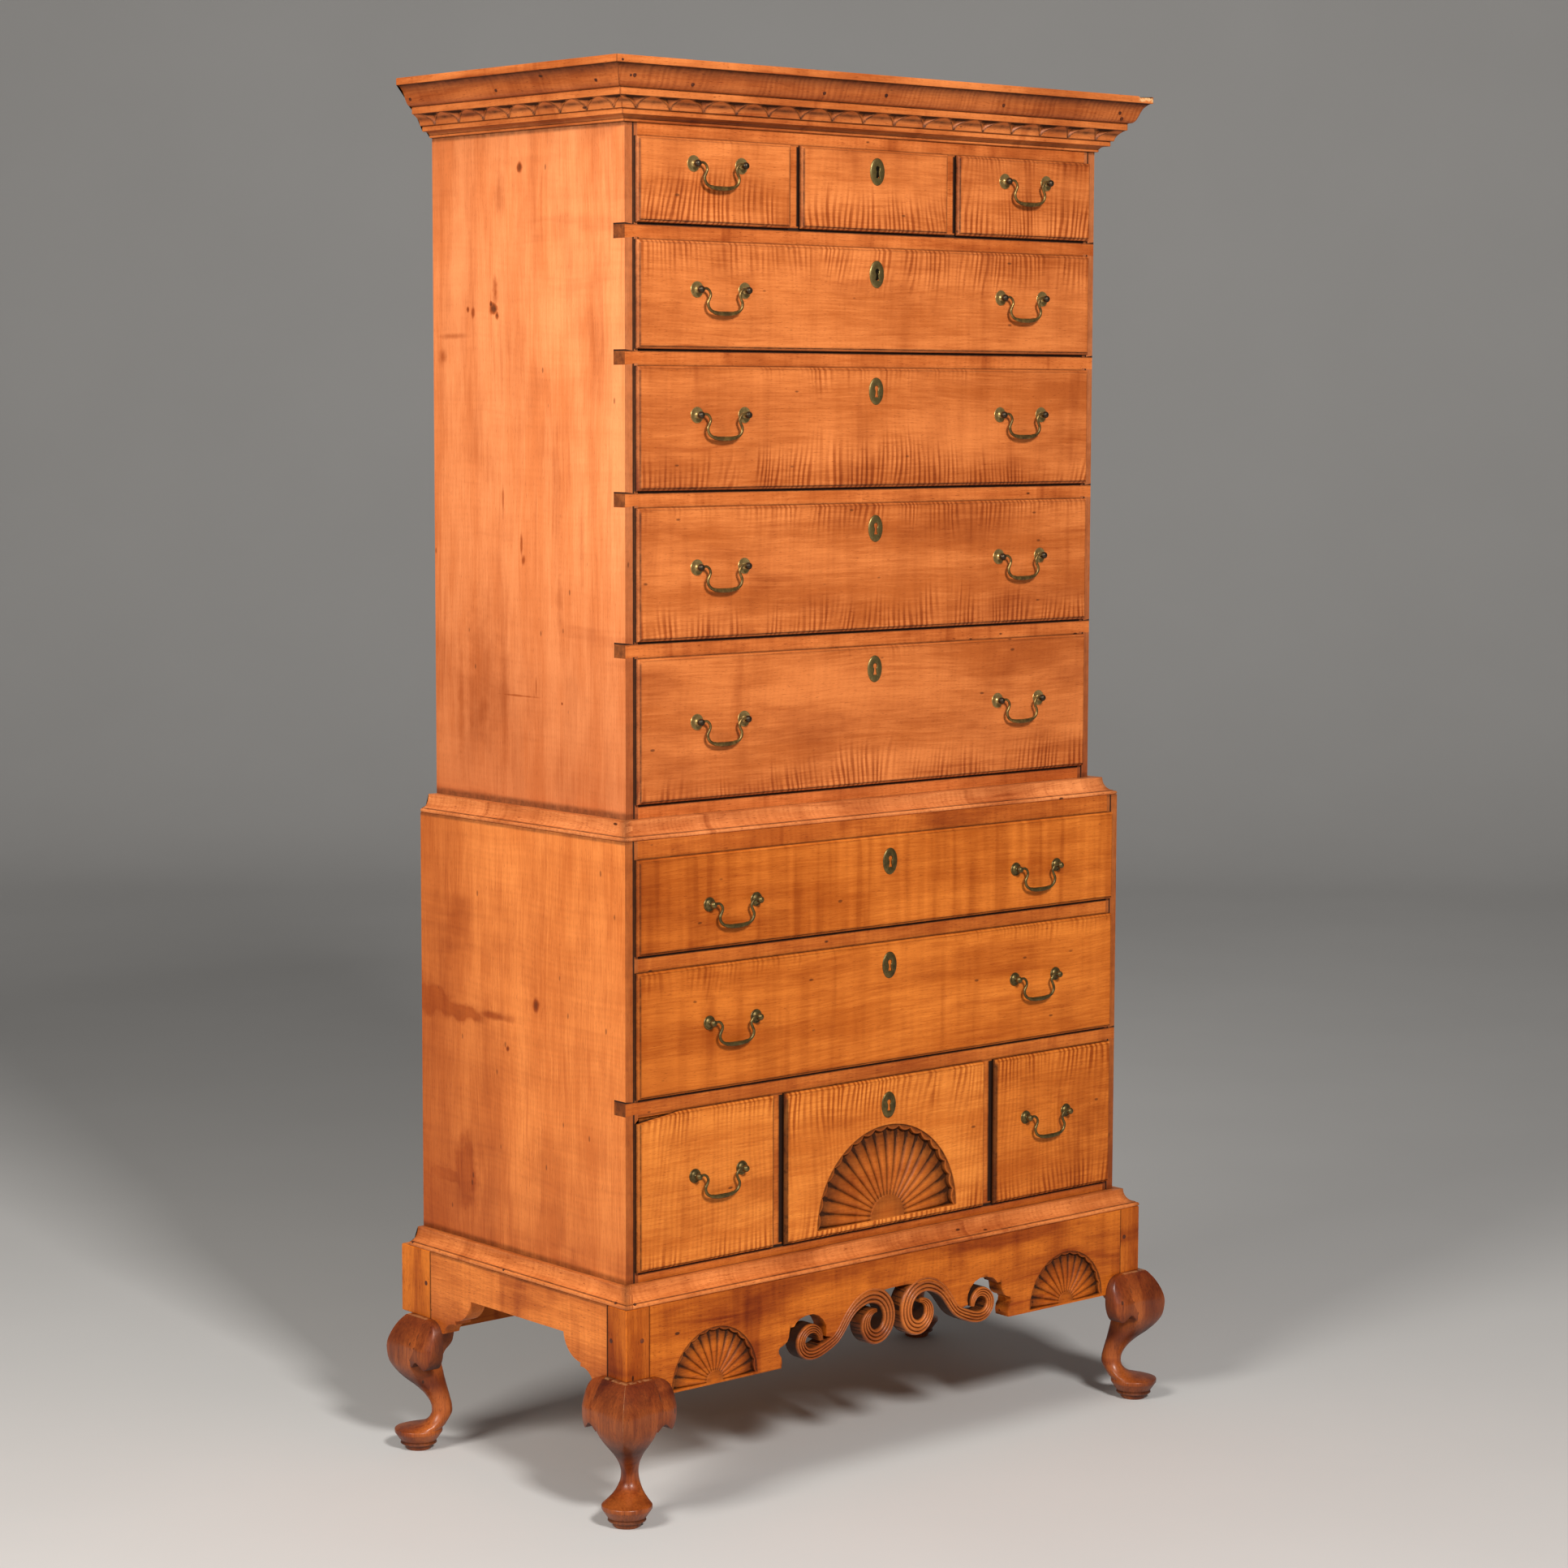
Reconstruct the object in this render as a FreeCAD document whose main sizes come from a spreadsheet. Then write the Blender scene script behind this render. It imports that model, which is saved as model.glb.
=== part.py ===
import FreeCAD, Part
import math
import os
import types
import Sketcher
from FreeCAD import Rotation, Vector

# A figured-maple highboy: a chest of drawers in two cases on a frame with cabriole legs.
# Millimetres, +Z up, front towards -Y. The origin lies on the floor, midway between the legs.

SIZES = [
    # Frame: posts, legs, aprons.
    ("frame_width", 1019),
    ("frame_depth", 535),
    ("frame_top", 304),
    ("post_width", 42),
    ("rear_post_depth", 73),
    ("knee_top", 204),
    ("knee_reach", 73),
    ("foot_reach", 24),
    ("foot_radius", 34),
    ("foot_height", 32),
    ("shoe_radius", 20),
    ("shoe_height", 7),
    ("apron_thick", 28),
    ("tenon_thick", 10),
    ("tenon_length", 22),
    ("tenon_inset", 9),
    ("front_apron_foot", 174),
    ("side_apron_foot", 248),
    ("bracket_foot", 187),
    ("bracket_length", 100),
    ("bracket_step", 61),
    ("bracket_toe", 32),
    ("ear_width", 38),
    ("ear_drop", 58),
    # Front apron: block at each end, pierced scrolls between, a fan on each block.
    ("apron_arch_half", 229),
    ("apron_arch_top", 244),
    ("scroll_foot", 176),
    ("scroll_length", 191),
    ("scroll_height", 89),
    ("scroll_gap", 10),
    ("scroll_bridge", 258),
    ("apron_fan_radius", 77),
    ("apron_fan_hub", 15),
    ("apron_fan_strip", 4),
    ("drawer_fan_radius", 137),
    ("drawer_fan_hub", 33),
    ("drawer_fan_strip", 12),
    ("fan_depth", 6),
    ("fan_crest", 1),
    # Cases.
    ("lower_side_step", 26),
    ("lower_front_step", 33.5),
    ("upper_side_step", 29.5),
    ("upper_front_step", 35.5),
    ("case_inset", 20),
    ("side_board", 22),
    ("back_board", 12),
    ("floor_board", 20),
    ("rail", 28),
    ("rail_depth", 60),
    ("tail_depth", 25),
    ("tail_root", 16),
    ("tail_tip", 21),
    ("runner_width", 34),
    ("guide_height", 16),
    ("lower_base_rail", 43.5),
    ("lower_top_rail", 28),
    ("upper_base_rail", 48),
    ("frieze", 82.5),
    ("row_1", 111),
    ("row_2", 143),
    ("row_3", 166),
    ("row_4", 179),
    ("row_5", 197),
    ("row_6", 129),
    ("row_7", 172),
    ("row_8", 215),
    ("row_1_middle", 279),
    ("row_1_divider", 25),
    ("row_8_middle", 391),
    ("row_8_divider", 26),
    # Mouldings.
    ("base_mould_height", 26.5),
    ("base_mould_ledge", 11),
    ("base_mould_bead", 6),
    ("waist_mould_height", 26),
    ("waist_mould_ledge", 15),
    ("waist_mould_bead", 5),
    ("cornice_bead", 2.5),
    ("cornice_bead_reach", 4),
    ("cornice_hollow", 7.5),
    ("cornice_hollow_reach", 13),
    ("cornice_fillet", 7.5),
    ("cornice_fillet_reach", 17),
    ("cornice_band", 14.5),
    ("cornice_band_reach", 31),
    ("cornice_second_fillet", 10),
    ("cornice_second_reach", 35),
    ("cornice_swell", 13),
    ("cornice_swell_reach", 51),
    ("cornice_cove", 17),
    ("cornice_crown", 10),
    ("cornice_reach", 62),
    # Drawers.
    ("lip_overlap", 6),
    ("lip_rail_overlap", 2.5),
    ("lip_thick", 9.5),
    ("lip_bevel", 4),
    ("front_tongue", 13),
    ("drawer_side", 11),
    ("drawer_back", 11),
    ("drawer_bottom", 8),
    ("bottom_rise", 6),
    ("bottom_groove", 4),
    ("drawer_tail", 10),
    ("drawer_tail_pitch", 74),
    ("drawer_rear_gap", 34),
    ("drawer_side_gap", 1),
    ("drawer_top_gap", 2),
    ("running_gap", 0.3),
    # Brass.
    ("upper_pull_inset", 140),
    ("lower_pull_inset", 162.5),
    ("pull_bore", 86),
    ("rosette_radius", 10.5),
    ("rosette_thick", 1.6),
    ("shank_width", 5),
    ("post_reach", 10),
    ("head_width", 8),
    ("head_wall", 1.6),
    ("bail_radius", 1.6),
    ("bail_drop", 33),
    ("bail_pin_gap", 0.05),
    ("bail_end_gap", 0.4),
    ("plate_width", 28),
    ("plate_height", 39),
    ("plate_thick", 1.5),
    ("keyhole_head", 3),
    ("keyhole_drop", 10),
    ("keyhole_slot", 2),
    ("lock_width", 60),
    ("lock_height", 42),
    ("lock_thick", 11),
    # Every cutting tool runs on this far past the face it opens.
    ("overrun", 1),
]

# Where the pulls and key plates sit, as shares of each row's height, top row first.
PULL_RISE_SHARES = [0.716, 0.556, 0.611, 0.547, 0.546, 0.469, 0.544, 0.570]
PLATE_RISE_SHARES = [0.743, 0.755, 0.815, 0.810, 0.845, 0.725, 0.820, 0.824]

# How far the low outer drawers' pulls stand off the middle towards the fan, as a share of the
# free width on each side of the pull.
LOW_PULL_SHARE = 0.214

# The leg below its post, from the knee down into the foot: height as a share of the knee's
# top; outer edge, inner edge and half breadth on the diagonal as shares of the knee's
# reach; and squareness, from 1 for sawn faces with a sharp arris to 2 for round.
LEG_SHARES = [
    (0.960, 0.658, -0.407, 0.534, 1.00),
    (0.870, 0.855, -0.407, 0.622, 1.00),
    (0.765, 0.995, -0.310, 0.640, 1.05),
    (0.670, 0.970, -0.150, 0.510, 1.18),
    (0.590, 0.830, -0.180, 0.365, 1.45),
    (0.520, 0.590, -0.230, 0.248, 1.70),
    (0.450, 0.315, -0.285, 0.205, 1.90),
    (0.375, 0.125, -0.332, 0.172, 2.00),
    (0.310, 0.068, -0.330, 0.165, 2.00),
    (0.225, 0.120, -0.262, 0.200, 2.00),
    (0.150, 0.560, -0.150, 0.330, 2.00),
]

# The foot's turned edge: radius as a share of the foot's radius, height of its height.
FOOT_SHARES = [(0.72, 0.28), (0.95, 0.55), (0.98, 0.86), (0.62, 1.0)]

# One pierced scroll, from the eye of its small volute to the eye of its large one: place
# along its length, place up its height and half breadth, all as shares of those two sizes.
SCROLL_SHARES = [
    (0.235, 0.32, 0.040),
    (0.218, 0.44, 0.060),
    (0.150, 0.525, 0.078),
    (0.041, 0.36, 0.090),
    (0.065, 0.19, 0.096),
    (0.155, 0.102, 0.100),
    (0.280, 0.165, 0.100),
    (0.393, 0.285, 0.094),
    (0.475, 0.485, 0.096),
    (0.563, 0.70, 0.108),
    (0.658, 0.81, 0.128),
    (0.783, 0.855, 0.142),
    (0.898, 0.72, 0.138),
    (0.940, 0.465, 0.135),
    (0.903, 0.235, 0.132),
    (0.798, 0.145, 0.130),
    (0.720, 0.255, 0.112),
    (0.699, 0.43, 0.100),
    (0.741, 0.565, 0.062),
    (0.803, 0.600, 0.030),
]

# A knee bracket's outline: along the apron as a share of its width, downwards of its drop.
EAR_SHARES = [
    (0, 0),
    (0.6, 0),
    (0.9, 0.16),
    (1.0, 0.5),
    (0.86, 0.74),
    (0.66, 1.0),
    (0.56, 0.82),
    (0.38, 0.74),
    (0.2, 0.8),
    (0, 0.86),
]

# How its swelling falls away along the apron, as shares of its width and of the knee's
# swelling, and the heights at which the knee's swelling is followed, as shares of its drop.
EAR_SWELL_SHARES = [(0, 1), (0.55, 0.8), (1.05, 0.16)]
EAR_FALL_SHARES = [1.1, 0.88, 0.6, 0.33, 0.13]

# Half of a bail's swan neck, from its pin: inwards as a share of half the bore, downwards of
# its drop.
BAIL_SHARES = [(0.25, 0.0), (0.37, 0.2), (0.28, 0.56), (0.48, 1.0)]

# How far a fan's ray has sunk at its shoulders, as a share of its whole fall.
RAY_SHOULDER_SHARE = 0.25

doc = FreeCAD.newDocument("highboy")
sheet = doc.addObject("Spreadsheet::Sheet", "Sizes")
for row, (alias, number) in enumerate(SIZES, 1):
    sheet.set("A%d" % row, alias)
    sheet.set("B%d" % row, str(number))
    sheet.setAlias("B%d" % row, alias)
doc.recompute()


class Size(float):
    """A length that keeps, beside its value, the sheet expression it is worked out from."""

    def __new__(cls, value, text):
        size = float.__new__(cls, value)
        size.text = text
        return size

    def __add__(self, other):
        return Size(float(self) + other, "(%s + %s)" % (self.text, text_of(other)))

    def __radd__(self, other):
        return Size(other + float(self), "(%s + %s)" % (text_of(other), self.text))

    def __sub__(self, other):
        return Size(float(self) - other, "(%s - %s)" % (self.text, text_of(other)))

    def __rsub__(self, other):
        return Size(other - float(self), "(%s - %s)" % (text_of(other), self.text))

    def __mul__(self, other):
        return Size(float(self) * other, "(%s * %s)" % (self.text, text_of(other)))

    def __rmul__(self, other):
        return self * other

    def __truediv__(self, other):
        return Size(float(self) / other, "(%s / %s)" % (self.text, text_of(other)))

    def __neg__(self):
        return Size(-float(self), "(-%s)" % self.text)


def text_of(value):
    """The sheet expression of a size, or a plain number as text."""
    return value.text if isinstance(value, Size) else "(%r)" % float(value)


def root(square):
    """Square root of a squared length, as a size."""
    return Size(math.sqrt(float(square)), "sqrt(%s)" % square.text)


d = types.SimpleNamespace(
    **{alias: Size(sheet.get(alias), "Sizes." + alias) for alias, number in SIZES}
)


def bind(target, property_name, value):
    """Tie one property of an object to the sheet."""
    target.setExpression(property_name, text_of(value))


def place(target, x, y, z):
    """Tie an object's position to the sheet."""
    for axis, value in zip("xyz", (x, y, z)):
        bind(target, "Placement.Base." + axis, value)


# Shared planes and levels, worked out from the sizes.
frame_front = (d.rear_post_depth - d.post_width - d.frame_depth) / 2
frame_back = frame_front + d.frame_depth
leg_x = (d.frame_width - d.post_width) / 2
leg_y = -(frame_front + d.post_width / 2)
post_inner_x = leg_x - d.post_width / 2
post_inner_y = leg_y - d.post_width / 2
case_back = frame_back - d.case_inset
lower_front = frame_front + d.lower_front_step
upper_front = lower_front + d.upper_front_step
lower_half = d.frame_width / 2 - d.lower_side_step
upper_half = lower_half - d.upper_side_step
drawer_end = case_back - d.back_board - d.drawer_rear_gap
rows = [getattr(d, "row_%d" % number) for number in range(1, 9)]
floors = [None] * 8
floors[7] = d.frame_top + d.lower_base_rail
for number in (6, 5):
    floors[number] = floors[number + 1] + rows[number + 1] + d.rail
lower_top = floors[5] + rows[5] + d.lower_top_rail
floors[4] = lower_top + d.upper_base_rail
for number in (3, 2, 1, 0):
    floors[number] = floors[number + 1] + rows[number + 1] + d.rail
frieze_foot = floors[0] + rows[0]
upper_top = frieze_foot + d.frieze
crown_top = upper_top + d.floor_board
nodes = []


def keep(target, label):
    """Name a finished sub-part; its label becomes its file's name."""
    target.Label = label
    nodes.append(target)
    return target


def board(name, x, y, z):
    """A rectangular board between two planes on each axis."""
    box = doc.addObject("Part::Box", name)
    bind(box, "Length", x[1] - x[0])
    bind(box, "Width", y[1] - y[0])
    bind(box, "Height", z[1] - z[0])
    place(box, x[0], y[0], z[0])
    return box


def cut(name, base, tools):
    """One piece with tools taken away from it."""
    result = doc.addObject("Part::Cut", name)
    result.Base = base
    result.Tool = tools[0] if len(tools) == 1 else fuse(name + "_tools", tools)
    return result


def fuse(name, pieces):
    """One piece made of several that touch."""
    result = doc.addObject("Part::MultiFuse", name)
    result.Shapes = pieces
    return result


def group(label, members):
    """Several separate solids that share one node."""
    result = doc.addObject("Part::Compound", label)
    result.Links = members
    return keep(result, label)


def form(name, shape):
    """A solid that no sketch or primitive gives, such as a carved or lofted one."""
    result = doc.addObject("Part::Feature", name)
    result.Shape = shape
    return result


def mirrored_span(side, near, far):
    """The interval between two distances from the middle, on the left (-1) or right (1)."""
    return (near, far) if side > 0 else (-far, -near)


def dovetail(name, turn_deg, x, y, z, thick, length, root_height, tip_height):
    """A tail that widens from its root to its tip. Unturned it grows along +Y and is thick
    along +X; turn_deg turns it about Z round its root, whose middle height is z."""
    tail = doc.addObject("Part::Wedge", name)
    for low, high, height in (("Zmin", "Zmax", root_height), ("Z2min", "Z2max", tip_height)):
        bind(tail, low, -height / 2)
        bind(tail, high, height / 2)
    for low, high in (("Xmin", "Xmax"), ("X2min", "X2max")):
        bind(tail, low, thick * 0)
        bind(tail, high, thick)
    bind(tail, "Ymin", length * 0)
    bind(tail, "Ymax", length)
    tail.Placement.Rotation = Rotation(Vector(0, 0, 1), turn_deg)
    place(tail, x, y, z)
    return tail


def sketch_on(body, role, offset):
    """An empty sketch on one of a body's own origin planes, moved along its normal."""
    sketch = body.newObject("Sketcher::SketchObject", body.Name + "_sketch")
    plane = [feature for feature in body.Origin.OriginFeatures if feature.Role == role][0]
    sketch.AttachmentSupport = [(plane, "")]
    sketch.MapMode = "FlatFace"
    bind(sketch, "AttachmentOffset.Base.z", offset)
    return sketch


def draw(sketch, points, closed=True):
    """Draw an outline through points (u, v) or (u, v, bow). A bow makes the stretch to the
    next point an arc whose radius is that share of the chord; a positive one turns left."""
    ends = []
    for index, point in enumerate(points if closed else points[:-1]):
        u0, v0 = point[:2]
        u1, v1 = points[(index + 1) % len(points)][:2]
        start, finish = Vector(u0, v0, 0), Vector(u1, v1, 0)
        if len(point) == 2:
            geometry = sketch.addGeometry(Part.LineSegment(start, finish))
            ends.append((geometry, 1, 2))
            continue
        bow = point[2]
        chord = root((u1 - u0) * (u1 - u0) + (v1 - v0) * (v1 - v0))
        radius = chord * abs(bow)
        along = (finish - start).normalize()
        across = Vector(-along.y, along.x, 0) * math.copysign(1, bow)
        centre = (start + finish) / 2 + across * math.sqrt(radius**2 - (chord / 2) ** 2)
        first, last = (start, finish) if bow > 0 else (finish, start)
        angles = [math.atan2((end - centre).y, (end - centre).x) for end in (first, last)]
        if angles[1] < angles[0]:
            angles[1] += 2 * math.pi
        circle = Part.Circle(centre, Vector(0, 0, 1), radius)
        geometry = sketch.addGeometry(Part.ArcOfCircle(circle, angles[0], angles[1]))
        ends.append((geometry, 1, 2) if bow > 0 else (geometry, 2, 1))
        limit = sketch.addConstraint(Sketcher.Constraint("Radius", geometry, float(radius)))
        bind(sketch, "Constraints[%d]" % limit, radius)
    corners = []
    for index, (geometry, first, last) in enumerate(ends):
        corners.append((geometry, first, points[index]))
        if closed or index + 1 < len(ends):
            joint = (geometry, last) + ends[(index + 1) % len(ends)][:2]
            sketch.addConstraint(Sketcher.Constraint("Coincident", *joint))
        else:
            corners.append((geometry, last, points[-1]))
    for geometry, end, point in corners:
        for kind, value in zip(("DistanceX", "DistanceY"), point[:2]):
            limit = sketch.addConstraint(Sketcher.Constraint(kind, -1, 1, geometry, end, float(value)))
            bind(sketch, "Constraints[%d]" % limit, value)


def slab(name, role, offset, thick, points):
    """A body with one padded outline. XZ pads towards -Y, YZ towards +X, XY towards +Z."""
    body = doc.addObject("PartDesign::Body", name)
    sketch = sketch_on(body, role, offset)
    draw(sketch, points)
    pad = body.newObject("PartDesign::Pad", name + "_pad")
    pad.Profile = sketch
    bind(pad, "Length", thick)
    return body


def pocket_down(body, level, points):
    """Cut an outline on the XY plane right through a body, from a level downwards."""
    sketch = sketch_on(body, "XY_Plane", level)
    draw(sketch, points)
    pocket = body.newObject("PartDesign::Pocket", body.Name + "_mitre")
    pocket.Profile = sketch
    pocket.Type = "ThroughAll"


# Legs: post, cabriole leg and turned foot are one stick. The leg bends out on the diagonal.


def ring(points):
    """A closed wire through points."""
    return Part.makePolygon(points + points[:1])


def leg_section(heading, centre, height, outer, inner, breadth, square):
    """A level section of the leg with three flats to a quarter: they lie in one line where the
    leg is sawn square, and bow out towards a circle where it is bevelled."""
    middle, half = (outer + inner) / 2, (outer - inner) / 2
    across = Vector(-heading.y, heading.x, 0)
    points = []
    for step in range(12):
        angle = step * math.pi / 6
        along, beside = math.cos(angle), math.sin(angle)
        along = middle + half * math.copysign(abs(along) ** (2 / square), along)
        beside = breadth * math.copysign(abs(beside) ** (2 / square), beside)
        points.append(centre + heading * along + across * beside + Vector(0, 0, height))
    return ring(points)


def leg(label, side, end, post_depth):
    """One leg: side is -1 left or 1 right, end is -1 front or 1 back."""
    centre = Vector(side * leg_x, end * leg_y, 0)
    heading = Vector(side, end, 0).normalize()
    corner = d.post_width / math.sqrt(2)
    sections = [leg_section(heading, centre, d.knee_top, corner, -corner, corner, 1)]
    for height, outer, inner, breadth, square in LEG_SHARES:
        reach = [share * d.knee_reach for share in (outer, inner, breadth)]
        sections.append(leg_section(heading, centre, height * d.knee_top, *reach, square))
    shank = Part.makeLoft(sections, True, True)
    rings = [(d.shoe_radius, 0), (d.shoe_radius, d.shoe_height)]
    rings += [(radius * d.foot_radius, height * d.foot_height) for radius, height in FOOT_SHARES]
    pad = centre + heading * d.foot_reach
    rounds = [leg_section(heading, pad, height, radius, -radius, radius, 2) for radius, height in rings]
    foot = Part.makeLoft(rounds, True, True)
    near = Vector(-d.post_width / 2, -d.post_width / 2 if end > 0 else d.post_width / 2 - post_depth)
    post = Part.makeBox(d.post_width, post_depth, d.frame_top - d.knee_top)
    post.translate(centre + near + Vector(0, 0, d.knee_top))
    shape = post.fuse([shank, foot]).removeSplitter()
    mortised = cut(label + "_mortised", form(label + "_stick", shape), tenons[(side, end)])
    keep(mortised, label)


def tenon_height(foot):
    """A tenon stands in from the top and the foot of its apron."""
    return (foot + d.tenon_inset, d.frame_top - d.tenon_inset)


# Tenons of the aprons, which also cut their mortises in the posts.
tenons = {}
apron_tenons = {"front": [], "rear": [], "left": [], "right": []}
tenon_in = (d.apron_thick - d.tenon_thick) / 2
for side, flank in ((-1, "left"), (1, "right")):
    along_x = mirrored_span(side, post_inner_x, post_inner_x + d.tenon_length)
    outer = d.frame_width / 2 - tenon_in
    across_x = mirrored_span(side, outer - d.tenon_thick, outer)
    for end, apron in ((-1, "front"), (1, "rear")):
        along_y = mirrored_span(end, post_inner_y, post_inner_y + d.tenon_length)
        if end < 0:
            across_y = (frame_front + tenon_in, frame_front + tenon_in + d.tenon_thick)
            foot = d.knee_top
        else:
            across_y = (frame_back - tenon_in - d.tenon_thick, frame_back - tenon_in)
            foot = d.side_apron_foot
        cross = board("tenon_%s_%s" % (apron, flank), along_x, across_y, tenon_height(foot))
        flat = board("tenon_%s_%s" % (flank, apron), across_x, along_y, tenon_height(d.side_apron_foot))
        apron_tenons[apron].append(cross)
        apron_tenons[flank].append(flat)
        tenons[(side, end)] = [cross, flat]

for side, flank in ((-1, "left"), (1, "right")):
    leg("leg_front_" + flank, side, -1, d.post_width)
    leg("leg_rear_" + flank, side, 1, d.rear_post_depth)


# Knee brackets: small leaves glued beside the knees, with a notched tip.


def knee_face(height_share):
    """How far the knee stands out from its post's face, at a share of the knee's height."""
    table = [(1, d.post_width / math.sqrt(2) / d.knee_reach)] + [row[:2] for row in LEG_SHARES]
    for (high, outer_high), (low, outer_low) in zip(table, table[1:]):
        if low <= height_share <= high:
            mix = (height_share - low) / (high - low)
            outer = outer_low + (outer_high - outer_low) * mix
            return outer * d.knee_reach / math.sqrt(2) - d.post_width / 2
    return 0


def bracket_leaf(name, side, end, along, out):
    """One bracket. along points away from the post on its apron, out is the apron's face."""
    start = Vector(side * leg_x, end * leg_y, 0) + (along + out) * (d.post_width / 2)
    up = Vector(0, 0, 1)

    def at(run, stand, drop):
        return start + along * run + out * stand + up * (d.knee_top - drop)

    width, drop = d.ear_width, d.ear_drop
    outline = [at(width * run, 0, drop * fall) for run, fall in EAR_SHARES]
    leaf = Part.Face(ring(outline)).extrude(out * d.knee_reach)
    sections = []
    for run, swell in EAR_SWELL_SHARES:
        face = [at(width * run, 0, drop * EAR_FALL_SHARES[0])]
        for fall in EAR_FALL_SHARES:
            stand = knee_face(1 - fall * drop / d.knee_top) * swell
            face.append(at(width * run, stand, drop * fall))
        sections.append(ring(face + [at(width * run, 0, 0)]))
    swelling = Part.makeLoft(sections, True, True)
    return form(name, leaf.common(swelling))


leaves = []
for side, flank in ((-1, "left"), (1, "right")):
    outwards, inwards = Vector(side, 0, 0), Vector(-side, 0, 0)
    frontwards, backwards = Vector(0, -1, 0), Vector(0, 1, 0)
    leaves.append(bracket_leaf("leaf_front_" + flank, side, -1, inwards, frontwards))
    leaves.append(bracket_leaf("leaf_side_" + flank, side, -1, backwards, outwards))
    leaves.append(bracket_leaf("leaf_rear_" + flank, side, 1, frontwards, outwards))
group("knee_brackets", leaves)


# Aprons. The side and rear ones end in ogee brackets against the posts.


def bracketed_outline(half):
    """Front view of a plain apron: straight foot between two ogee brackets."""
    foot, toe = d.side_apron_foot, d.bracket_foot
    step = foot - (foot - toe) * 0.6
    nick = foot - (foot - toe) * 0.69
    points = [(-half, d.frame_top), (-half, toe), (-(half - d.bracket_toe), toe, -0.8)]
    points += [(-(half - d.bracket_step), nick), (-(half - d.bracket_step), step, 0.8)]
    points += [(-(half - d.bracket_length), foot), (half - d.bracket_length, foot, 0.8)]
    points += [(half - d.bracket_step, step), (half - d.bracket_step, nick, -0.8)]
    points += [(half - d.bracket_toe, toe), (half, toe), (half, d.frame_top)]
    return points


sides = []
for side, flank in ((-1, "left"), (1, "right")):
    inner, outer = mirrored_span(side, d.frame_width / 2 - d.apron_thick, d.frame_width / 2)
    panel = slab("side_panel_" + flank, "YZ_Plane", inner, d.apron_thick, bracketed_outline(post_inner_y))
    sides.append(fuse("side_apron_" + flank, [panel] + apron_tenons[flank]))
group("side_aprons", sides)
rear = slab("rear_panel", "XZ_Plane", -frame_back, d.apron_thick, bracketed_outline(post_inner_x))
keep(fuse("rear_apron_whole", [rear] + apron_tenons["rear"]), "rear_apron")


def scroll(side):
    """One pierced S-scroll: a ribbon whose breadth swells and tapers along a spiral line."""
    nearest = d.scroll_gap / 2
    line, breadths = [], []
    for along, up, breadth in SCROLL_SHARES:
        x = side * (nearest + (1 - along) * d.scroll_length)
        line.append(Vector(x, frame_front, d.scroll_foot + up * d.scroll_height))
        breadths.append(breadth * d.scroll_height)
    centre = Part.BSplineCurve()
    centre.interpolate(line)
    stops = [centre.parameter(point) for point in line]
    left, right = [], []
    for index in range(len(line) - 1):
        for part in (0, 0.5):
            at = stops[index] + (stops[index + 1] - stops[index]) * part
            breadth = breadths[index] + (breadths[index + 1] - breadths[index]) * part
            along = centre.tangent(at)[0]
            across = Vector(-along.z, 0, along.x) * breadth
            left.append(centre.value(at) + across)
            right.append(centre.value(at) - across)
    face = Part.Face(ring(left + right[::-1]))
    return face.extrude(Vector(0, d.apron_thick, 0))


def fan_tool(name, x, y, z, radius, hub, lobes):
    """What a carver takes out to leave a fan: a half round ring that sinks more towards its rim,
    and whose floor rises in rays. A flat crest and two slopes give each ray its rounded back."""
    turns = []
    for lobe in range(lobes):
        turns += [(lobe, 1), (lobe + 0.25, RAY_SHOULDER_SHARE), (lobe + 0.75, RAY_SHOULDER_SHARE)]
    turns.append((lobes, 1))

    def edge(reach):
        top, floor = [], []
        for turn, sink in turns:
            angle = math.pi * turn / lobes
            out = Vector(x + math.cos(angle) * reach, y, z + math.sin(angle) * reach)
            fall = (d.fan_depth - d.fan_crest) * sink * reach / radius
            top.append(out - Vector(0, d.overrun, 0))
            floor.append(out + Vector(0, d.fan_crest + fall, 0))
        return top, floor

    rim_top, rim_floor = edge(radius)
    hub_top, hub_floor = edge(hub)
    faces = [Part.Face(ring(rim_top + hub_top[::-1]))]
    for one, two in ((rim_top, rim_floor), (rim_floor, hub_floor), (hub_floor, hub_top)):
        for index in range(len(turns) - 1):
            corners = [one[index], one[index + 1], two[index + 1], two[index]]
            faces.append(Part.Face(ring(corners)))
    for index in (0, -1):
        corners = [rim_top[index], rim_floor[index], hub_floor[index], hub_top[index]]
        faces.append(Part.Face(ring(corners)))
    shell = Part.makeShell(faces)
    shell.sewShape()
    tool = Part.makeSolid(shell)
    if tool.Volume < 0:
        tool.reverse()
    return form(name, tool)


# Front apron: a block at each end with its fan, and between them the arches and scrolls.
half, foot, arch = d.apron_arch_half, d.front_apron_foot, d.apron_arch_top
rise = arch - foot
ribbon = d.scroll_length + d.scroll_gap / 2
left_half = [
    (-post_inner_x, d.frame_top),
    (-post_inner_x, foot),
    (-half, foot, 0.62),
    (-half, foot + rise * 0.38, -0.9),
    (-half * 0.93, foot + rise * 0.6, -0.9),
    (-half * 0.918, foot + rise * 0.82),
    (-half * 0.885, foot + rise * 0.82, -0.75),
    (-ribbon * 0.85, arch, -0.75),
    (-ribbon * 0.71, foot + rise * 0.62, -0.9),
    (-ribbon * 0.73, foot + rise * 0.4),
    (-ribbon * 0.6, foot + rise * 0.5),
    (-ribbon * 0.45, foot + rise * 0.98),
    (-ribbon * 0.27, d.scroll_bridge),
]
right_half = []
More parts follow.
